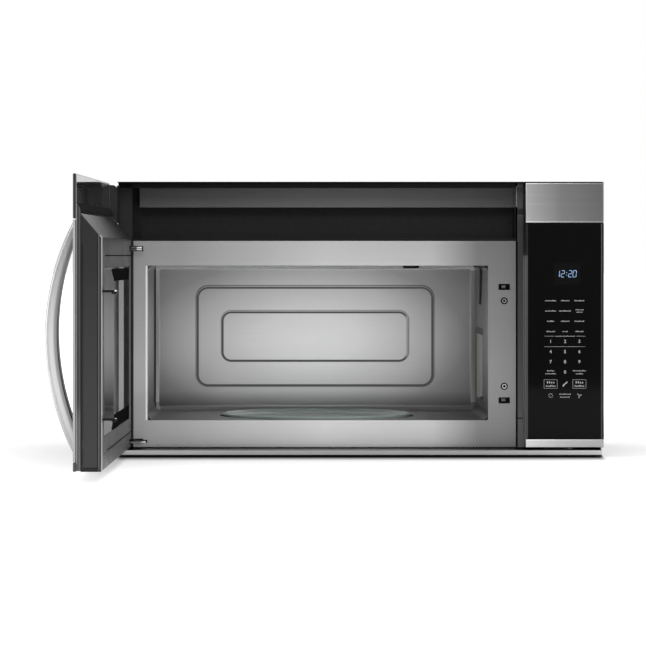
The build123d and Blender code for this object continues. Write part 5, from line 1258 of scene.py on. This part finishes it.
for column in (columns[0], columns[2]):
    for side in (-1, 1):
        printed.append(ink(column, FRAME_Z + side * FRAME_TALL / 2, FRAME_WIDE + LINE, LINE))
        printed.append(ink(column + side * FRAME_WIDE / 2, FRAME_Z, LINE, FRAME_TALL))
    words(column, FRAME_Z, (2.6, 13.0, 3.4), (-3.0, 15.5, 2.6))
words(KEY_MIDDLE, LAST_Z, (2.3, 18.5, 1.9), (-2.3, 15.5, 1.9))
printed.append(oval(KEY_MIDDLE + 1.7 * MM, FRAME_Z + 1.6 * MM, 2.2 * MM, 6.4 * MM, 0.8))
printed.append(oval(KEY_MIDDLE - 2.0 * MM, FRAME_Z - 1.8 * MM, 2.2 * MM, 5.4 * MM, 0.5))
for number in range(0, RING_PARTS, 2):
    turn = 2 * math.pi * number / RING_PARTS
    printed.append(oval(columns[0] + RING * math.cos(turn), LAST_Z + RING * math.sin(turn),
                        1.0 * MM, 1.9 * MM, turn))
for turn in (0.3, 2.4, 4.5):
    printed.append(oval(columns[2] + WHEEL * math.cos(turn), LAST_Z + WHEEL * math.sin(turn),
                        1.3 * MM, 4.2 * MM, math.pi / 2 - turn))
panel_print = join(printed, "panel_print")
bpy.data.objects.remove(stroke)
dress(panel_print, moulded("grey_ink", 0.46, 0.5, 0.1, 2500.0))
print("Print has", len(panel_print.data.polygons), "faces")

# %% [markdown]
# ## The lit clock
# A clock of this kind has bars that light up, seven to a figure.  One bar is a flat plate with
# pointed ends, and every other bar is a copy of it, laid flat or turned upright.

# %% Model one bar and set the time with copies
CLOCK_Z = 71.3 * MM
CLOCK_X = KEY_MIDDLE + 3.2 * MM
BAR_LONG = 4.5 * MM
BAR_WIDE = 0.78 * MM
LEAN = 0.10
FIGURE_PITCH = 6.9 * MM
DOT = 1.1 * MM
HALF = BAR_LONG / 2 + 0.25 * MM
BARS = {"a": (0, 2 * HALF, 0), "b": (HALF, HALF, 1), "c": (HALF, -HALF, 1), "d": (0, -2 * HALF, 0),
        "e": (-HALF, -HALF, 1), "f": (-HALF, HALF, 1), "g": (0, 0, 0)}
SHOWN = {"1": "bc", "2": "abged", "0": "abcdef"}

bar = start_block("clock_bar", (-BAR_LONG / 2, GLASS_FACE - INK, -BAR_WIDE / 2),
                  (BAR_LONG / 2, GLASS_FACE, BAR_WIDE / 2))
with editing(bar) as select:
    select("edges", lambda place, normal: abs(abs(place.x) - BAR_LONG / 2) < INK / 4
           and abs(abs(place.z) - BAR_WIDE / 2) < INK / 4)
    bpy.ops.mesh.bevel(offset=BAR_WIDE * 0.48, segments=1, affect="EDGES")


def clock_bar(x, z, upright):
    """A copy of the bar at a place on the clock, leaning with the rest."""
    shift = Matrix.Translation((CLOCK_X + x + z * LEAN, 0, CLOCK_Z + z))
    return copy_of(bar, "clock", shift @ Matrix.Rotation(math.pi / 2 * upright, 4, "Y"))


lit = []
for place, sign in zip((-2.08, -0.95, 0.72, 1.72), "1220"):
    for letter in SHOWN[sign]:
        dx, dz, upright = BARS[letter]
        lit.append(clock_bar(place * FIGURE_PITCH + dx, dz, upright))
for dz in (-1.9 * MM, 1.9 * MM):
    lit.append(oval(CLOCK_X - 0.1 * FIGURE_PITCH + dz * LEAN, CLOCK_Z + dz, DOT, DOT, 0))
clock = join(lit, "clock_figures")
bpy.data.objects.remove(bar)

glow = Finish("clock_light", Roughness=0.4, Emission_Strength=0.6)
light = glow.blend(glow.noise(500.0, 1.0), (0.20, 0.34, 0.56, 1.0), (0.30, 0.46, 0.72, 1.0))
glow.give(Base_Color=light, Emission_Color=light)
dress(clock, glow.material)
print("The clock has", len(lit), "lit marks")

# %% [markdown]
# The clock shines through a smoked window with rounded corners, a little paler than the glass
# round it.

# %% Set the clock's window
WINDOW_WIDE = 41.5 * MM
WINDOW_TALL = 34.0 * MM
clock_window = start_block(
    "clock_window", (CLOCK_X - WINDOW_WIDE / 2, GLASS_FACE - INK / 3, CLOCK_Z - WINDOW_TALL / 2),
    (CLOCK_X + WINDOW_WIDE / 2, GLASS_FACE + INK, CLOCK_Z + WINDOW_TALL / 2))
with editing(clock_window) as select:
    select("edges", lambda place, normal: abs(abs(place.x - CLOCK_X) - WINDOW_WIDE / 2) < INK
           and abs(abs(place.z - CLOCK_Z) - WINDOW_TALL / 2) < INK)
    bpy.ops.mesh.bevel(offset=1.0 * MM, segments=3, affect="EDGES")
dress(clock_window, polished("smoked_clock_window", 0.0055, 0.06, 0.08))
print("Clock window", WINDOW_WIDE / MM, "by", WINDOW_TALL / MM, "mm")

# %% [markdown]
# ## The glass tray
# The tray is a disc of clear pressed glass with a raised rim, green where it is seen edge on.
# It is round, so its section is drawn once from the middle to the edge and spun about the axis.

# %% Spin the tray
tray_low, tray_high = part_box("turntable_tray")
tray_middle = (tray_low + tray_high) / 2
TRAY_RADIUS = (tray_high.x - tray_low.x) / 2
TRAY_SHEET = 5.2 * MM
TRAY_TURNS = 120
rim_top, foot = tray_high.z, tray_low.z
section = [(0, foot + TRAY_SHEET), (0.80, foot + TRAY_SHEET), (0.915, foot + TRAY_SHEET + 0.4 * MM),
           (0.945, foot + TRAY_SHEET + 3.0 * MM), (0.962, rim_top - 0.3 * MM), (0.985, rim_top),
           (1.0, rim_top - 1.0 * MM), (0.998, foot + 6.0 * MM), (0.982, foot + 2.2 * MM),
           (0.955, foot), (0.90, foot), (0.88, foot + 0.8 * MM), (0, foot + 0.8 * MM)]
outline = bmesh.new()
corners = [outline.verts.new((tray_middle.x + share * TRAY_RADIUS, tray_middle.y, z))
           for share, z in section]
for first, second in zip(corners, corners[1:]):
    outline.edges.new((first, second))
mesh = bpy.data.meshes.new("glass_tray")
outline.to_mesh(mesh)
outline.free()
tray = bpy.data.objects.new("glass_tray", mesh)
bpy.context.collection.objects.link(tray)
with editing(tray):
    bpy.ops.mesh.select_all(action="SELECT")
    bpy.ops.mesh.spin(steps=TRAY_TURNS, angle=2 * math.pi, center=tray_middle, axis=(0, 0, 1))
    bpy.ops.mesh.select_all(action="SELECT")
    bpy.ops.mesh.remove_doubles(threshold=WELD)
    bpy.ops.mesh.normals_make_consistent(inside=False)
bpy.ops.object.shade_smooth_by_angle(angle=math.radians(50))
dress(tray, finishes["tray_glass"], "turntable", "turntable_tray")
print("Tray", len(tray.data.polygons), "faces")

# %% [markdown]
# ## Working on the door as if it were shut
# The door stands open, so nothing on it lies square to the axes.  Its fine pieces are modelled
# where they would be on the shut door, and then swung about the hinge pin to where it stands.

# %% Swing a piece open with the door
DOOR_OPEN = math.radians(91.4)
PANE_FACE = -0.3614              # the window's face on the shut door
BACK_FACE = -0.3610              # the door's back on the shut door


def hang(piece, finish):
    """Swing a piece of the shut door open, dress it, and let it move with the door."""
    swing = Matrix.Translation(HINGE_PIN) @ Matrix.Rotation(-DOOR_OPEN, 4, "Z")
    piece.data.transform(swing @ Matrix.Translation(-HINGE_PIN))
    return dress(piece, finish, "door")


print("The door is open by", round(math.degrees(DOOR_OPEN), 1), "degrees")

# %% [markdown]
# ## Painted dark reflection on the door's window
# The window mirrors something dark above and below its middle.  There two matt black bands, a
# painted reflection, lie on the side that faces the food and mirror nothing.  The inner edge of
# each band slants, so the two points of the block at that edge are pulled back.

# %% Lay the two bands of painted dark reflection on the window
BAND_DEPTH = 0.1 * MM
BANDS = {"dark_reflection_above": (0.0626, 0.0806), "dark_reflection_below": (-0.1532, -0.1324)}
BAND_START, BAND_END = -0.3610, 0.045
painted_reflection_black = matt_black("painted_dark_reflection", 0.010)
for name, (low_z, high_z) in BANDS.items():
    band = rounded_plate(name, (BAND_START, PANE_FACE, low_z),
                         (BAND_END, PANE_FACE + BAND_DEPTH, high_z), 3 * MM, 1)
    with editing(band) as select:
        select("verts", lambda place, normal: place.x > BAND_END - 15 * MM
               and abs(place.z) < abs(low_z + high_z) / 2)
        bpy.ops.transform.translate(value=(-BAND_END, 0, 0))
    hang(band, painted_reflection_black)
    print(name, round((high_z - low_z) / MM, 1), "mm high")

# %% [markdown]
# ## The joints in the door's back
# The back of the door is made of three lengths.  A matt black line shows where each meets the
# next; it is a thin strip of rubber that sits in the joint.

# %% Lay the two joint strips
# this black serves the door's joint strips, and also the strips of painted shade in the gaps and
# slots below
joint_and_shade_black = matt_black("black_joint_and_shade", 0.002, 0.9)
JOINT_START, JOINT_HALF = -0.3670, 0.7 * MM
for name, level, far_x in (("joint_upper", 0.0998, 0.176), ("joint_lower", -0.1758, 0.146)):
    dark_strip = rounded_plate(name, (JOINT_START, BACK_FACE - 0.1 * MM, level - JOINT_HALF),
                          (far_x, BACK_FACE + 0.1 * MM, level + JOINT_HALF), 0.3 * MM, 1)
    hang(dark_strip, joint_and_shade_black)
    print(name, round(far_x - JOINT_START, 3), "m long")

# %% [markdown]
# ## A black strip for the shade at the door's hinge end
# A soft black lip continues the rib behind the steel band and fills the gap to the cabinet, so
# no light shows past the door; the black strip stands in for the shade in that gap.  Its foot
# follows the slope of the moulding under it.

# %% Model the strip of painted shade in the gap
LIP_LEFT, LIP_RIGHT = -0.3780, -0.3755
LIP_FRONT, LIP_BACK = -0.3835, -0.3790
LIP_FOOT, LIP_TOP = 0.150, 0.2095
lip = start_block("gap_shade_lip", (LIP_LEFT, LIP_FRONT, LIP_FOOT), (LIP_RIGHT, LIP_BACK, LIP_TOP))
with editing(lip) as select:
    for edge, rise in ((LIP_FRONT, 2.0 * MM), (LIP_BACK, -2.5 * MM)):
        select("verts", lambda place, normal: place.z < LIP_FOOT + 10 * MM
               and abs(place.y - edge) < 1 * MM)
        bpy.ops.transform.translate(value=(0, 0, rise))
ease_edges(lip, 0.5 * MM)
hang(lip, finishes["rubber_part"])
print("Lip", round(LIP_TOP - LIP_FOOT + 2.5 * MM, 4), "m long")

# %% [markdown]
# ## Dark strips for the shade in the gaps of the oven front
# A thin black strip stands in the gap beside the control panel, and a grey one in the gap beside
# the hinges; each stands in for the shade inside its gap.  Each lies just behind the face, so a
# line of painted shade runs down the gap.

# %% Stand the strips of painted shade in their gaps
GAP_SHADE_FOOT, GAP_SHADE_TOP = -0.2005, 0.1220
for name, gap, depth, radius, finish in (
        ("panel_gap_shade", (0.2452, 0.2478), (-0.3602, -0.3592), 0.3 * MM, joint_and_shade_black),
        ("hinge_gap_shade", (-0.3590, -0.3556), (-0.3585, -0.3560), 0.5 * MM,
         matt_black("grey_gap_shade", 0.045))):
    gap_shade = rounded_plate(name, (gap[0], depth[0], GAP_SHADE_FOOT),
                         (gap[1], depth[1], GAP_SHADE_TOP), radius, 2)
    dress(gap_shade, finish)
print("Seals", round(GAP_SHADE_TOP - GAP_SHADE_FOOT, 4), "m long")

# %% [markdown]
# A thin pale strip, a painted highlight, frames the outlet's right end: up its side and over
# towards the panel.

# %% Bend the strip of painted highlight round the outlet
HIGHLIGHT_WIDE = 1.3 * MM
HIGHLIGHT_LEFT, HIGHLIGHT_RIGHT = 0.2456, 0.2474
HIGHLIGHT_FRONT, HIGHLIGHT_BACK = -0.3600, -0.3540
HIGHLIGHT_FOOT, HIGHLIGHT_TOP = 0.1765, 0.2090
upright = rounded_plate("highlight_strip", (HIGHLIGHT_LEFT, HIGHLIGHT_FRONT, HIGHLIGHT_FOOT),
                        (HIGHLIGHT_LEFT + HIGHLIGHT_WIDE, HIGHLIGHT_BACK, HIGHLIGHT_TOP), 0.3 * MM, 2)
upper = rounded_plate("highlight_strip", (HIGHLIGHT_LEFT, HIGHLIGHT_FRONT, HIGHLIGHT_TOP - HIGHLIGHT_WIDE),
                      (HIGHLIGHT_RIGHT + HIGHLIGHT_WIDE, HIGHLIGHT_BACK, HIGHLIGHT_TOP), 0.3 * MM, 0)
outlet_edge_highlight = join([upright, upper], "outlet_edge_highlight")
dress(outlet_edge_highlight, moulded("painted_edge_highlight", 0.42, 0.5, 0.2))
print("Bead", len(outlet_edge_highlight.data.polygons), "faces")

# %% [markdown]
# ## The slots that the hinge arms come through
# Each arm leaves the oven front through a slot that is a little larger than the arm.  A black
# strip of painted shade fills the slot's edge, so a dark line runs round the arm.  The lower slot
# is longer, and a bright piece, a painted highlight at the arm's end, fills its end.

# %% Lay painted shade in the two slots and set the arm's painted highlight
SLOT_START, SLOT_END, LONG_SLOT_END = -0.3550, -0.3402, -0.3339
SLOT_DEEP = -0.3583
# the black strips of painted shade: the upper one lies in its slot, the lower one on its rim
SUNK, PROUD = -0.3589, -0.3594    # the upper liner lies in its slot, the lower one on its rim
ARM_TOP, ARM_FOOT = 0.1132, 0.1080
SHADE_STRIP = 1.3 * MM
LOW_LINE, ARM_HIGHLIGHT_FOOT = -0.1915, -0.1946
strips = [rounded_plate("slot_shade_strip", (low_x, face, low_z), (high_x, SLOT_DEEP, high_z), 0.15 * MM, 1)
          for face, low_x, high_x, low_z, high_z in (
              (SUNK, SLOT_START, SLOT_END, ARM_TOP, ARM_TOP + SHADE_STRIP),
              (SUNK, SLOT_START, SLOT_END, ARM_FOOT - SHADE_STRIP, ARM_FOOT),
              (SUNK, SLOT_END - 0.7 * MM, SLOT_END, ARM_FOOT, ARM_TOP),
              (PROUD, SLOT_START, LONG_SLOT_END, LOW_LINE, LOW_LINE + 1.8 * MM),
              (PROUD, LONG_SLOT_END - 2.4 * MM, LONG_SLOT_END, ARM_HIGHLIGHT_FOOT, LOW_LINE))]
slot_shade = join(strips, "hinge_slot_shade")
dress(slot_shade, joint_and_shade_black)
end_highlight = rounded_plate("hinge_end_highlight", (SLOT_END - 0.8 * MM, PROUD - 0.2 * MM, ARM_HIGHLIGHT_FOOT),
                     (LONG_SLOT_END - 2.5 * MM, SLOT_DEEP, LOW_LINE - 0.1 * MM), 0.5 * MM, 1)
dress(end_highlight, moulded("painted_arm_highlight", 0.95, 0.4, 0.2, gloss=0.5))
print("Liners", len(slot_shade.data.polygons), "faces")

# %% [markdown]
# ## The screws beside the oven
# Each is a pan head with a socket.  A cylinder gives the head; its face is inset and pushed in
# for the socket, and the rim is rounded.  Rim and socket get painted shade, and the ring between
# them is darker on the upper screw than on the lower one.

# %% Model one screw and set two copies in the plate
screw_low, screw_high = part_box("screws")
SCREW_RADIUS = (screw_high.x - screw_low.x) / 2
SCREW_X = (screw_low.x + screw_high.x) / 2
UPPER_SCREW, LOWER_SCREW = screw_high.z - SCREW_RADIUS, screw_low.z + SCREW_RADIUS
HEAD = 2.2 * MM
HEAD_RADIUS = SCREW_RADIUS * 1.07
bpy.ops.object.select_all(action="DESELECT")
bpy.ops.mesh.primitive_cylinder_add(vertices=36, radius=HEAD_RADIUS, depth=HEAD,
                                    rotation=(math.pi / 2, 0, 0))
pan = settle("pan_head")
with editing(pan) as select:
    select("faces", lambda place, normal: normal.y < -0.9)
    bpy.ops.mesh.bevel(offset=0.9 * MM, segments=4, affect="EDGES")
    select("faces", lambda place, normal: normal.y < -0.99)
    for thickness, depth in ((1.6, 0), (0.2, -0.9), (0.9, -0.2)):
        bpy.ops.mesh.inset(thickness=thickness * MM, depth=depth * MM)
bpy.ops.object.shade_smooth_by_angle(angle=SHARP)


def screw_painted_shade(name, ring, socket):
    """Screw steel with painted shade on its rim and in its socket, and a ring of another tone
    between them.
    """
    steel = Finish(name, Metallic=1.0)
    x, y, z = steel.axes()
    drop = (z - UPPER_SCREW).size().at_most((z - LOWER_SCREW).size())
    away = (x - SCREW_X).away(drop)
    between = away.between(HEAD_RADIUS * socket, HEAD_RADIUS * 0.64)
    steel.give(Base_Color=steel.blend(between, grey(0.0), grey(ring)),
               Roughness=steel.noise(900.0) * 0.2 + 0.2)
    return steel.material


for name, finish, level, ring, socket in (
        ("screw_upper", "darker_ring_screw", UPPER_SCREW, 0.22, 0.34),
        ("screw_lower", "lighter_ring_screw", LOWER_SCREW, 0.50, 0.40)):
    shift = Matrix.Translation((SCREW_X, screw_low.y + HEAD / 2, level))
    dress(copy_of(pan, name, shift), screw_painted_shade(finish, ring, socket), node="screws")
bpy.data.objects.remove(pan)
print("Screws", round(SCREW_RADIUS * 2 / MM, 1), "mm across")

# %% [markdown]
# ## Dulling the foot of the band's backing
# The backing is polished, but the rounded foot under it is left matt.  Its faces are found by
# their height and by how far they look up or down, and they get a second finish.

# %% Give the rounded foot its own finish
FOOT_FROM, FOOT_TO = 0.1505, 0.1745
backing = eased["door_front_frame"]
backing.data.materials.append(matt_black("matt_backing", 0.022, 0.7))
with editing(backing) as select:
    matt = select("faces", lambda place, normal: FOOT_FROM < place.z < FOOT_TO
                  and abs(normal.z) > 0.03)
    backing.active_material_index = 1
    bpy.ops.object.material_slot_assign()
print(matt, "matt faces")

# %% [markdown]
# ## Checking the size
# The finished model is measured against the solids' box, and how far it grows past it is printed.
# The finished model may not grow out of the solids' box.

# %% Measure both boxes and print the growth
full_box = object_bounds()
grown = [round((full - cad) / MM, 2) for full, cad in zip(full_box[1], solid_box[1])]
print("Grown by", grown, "mm")
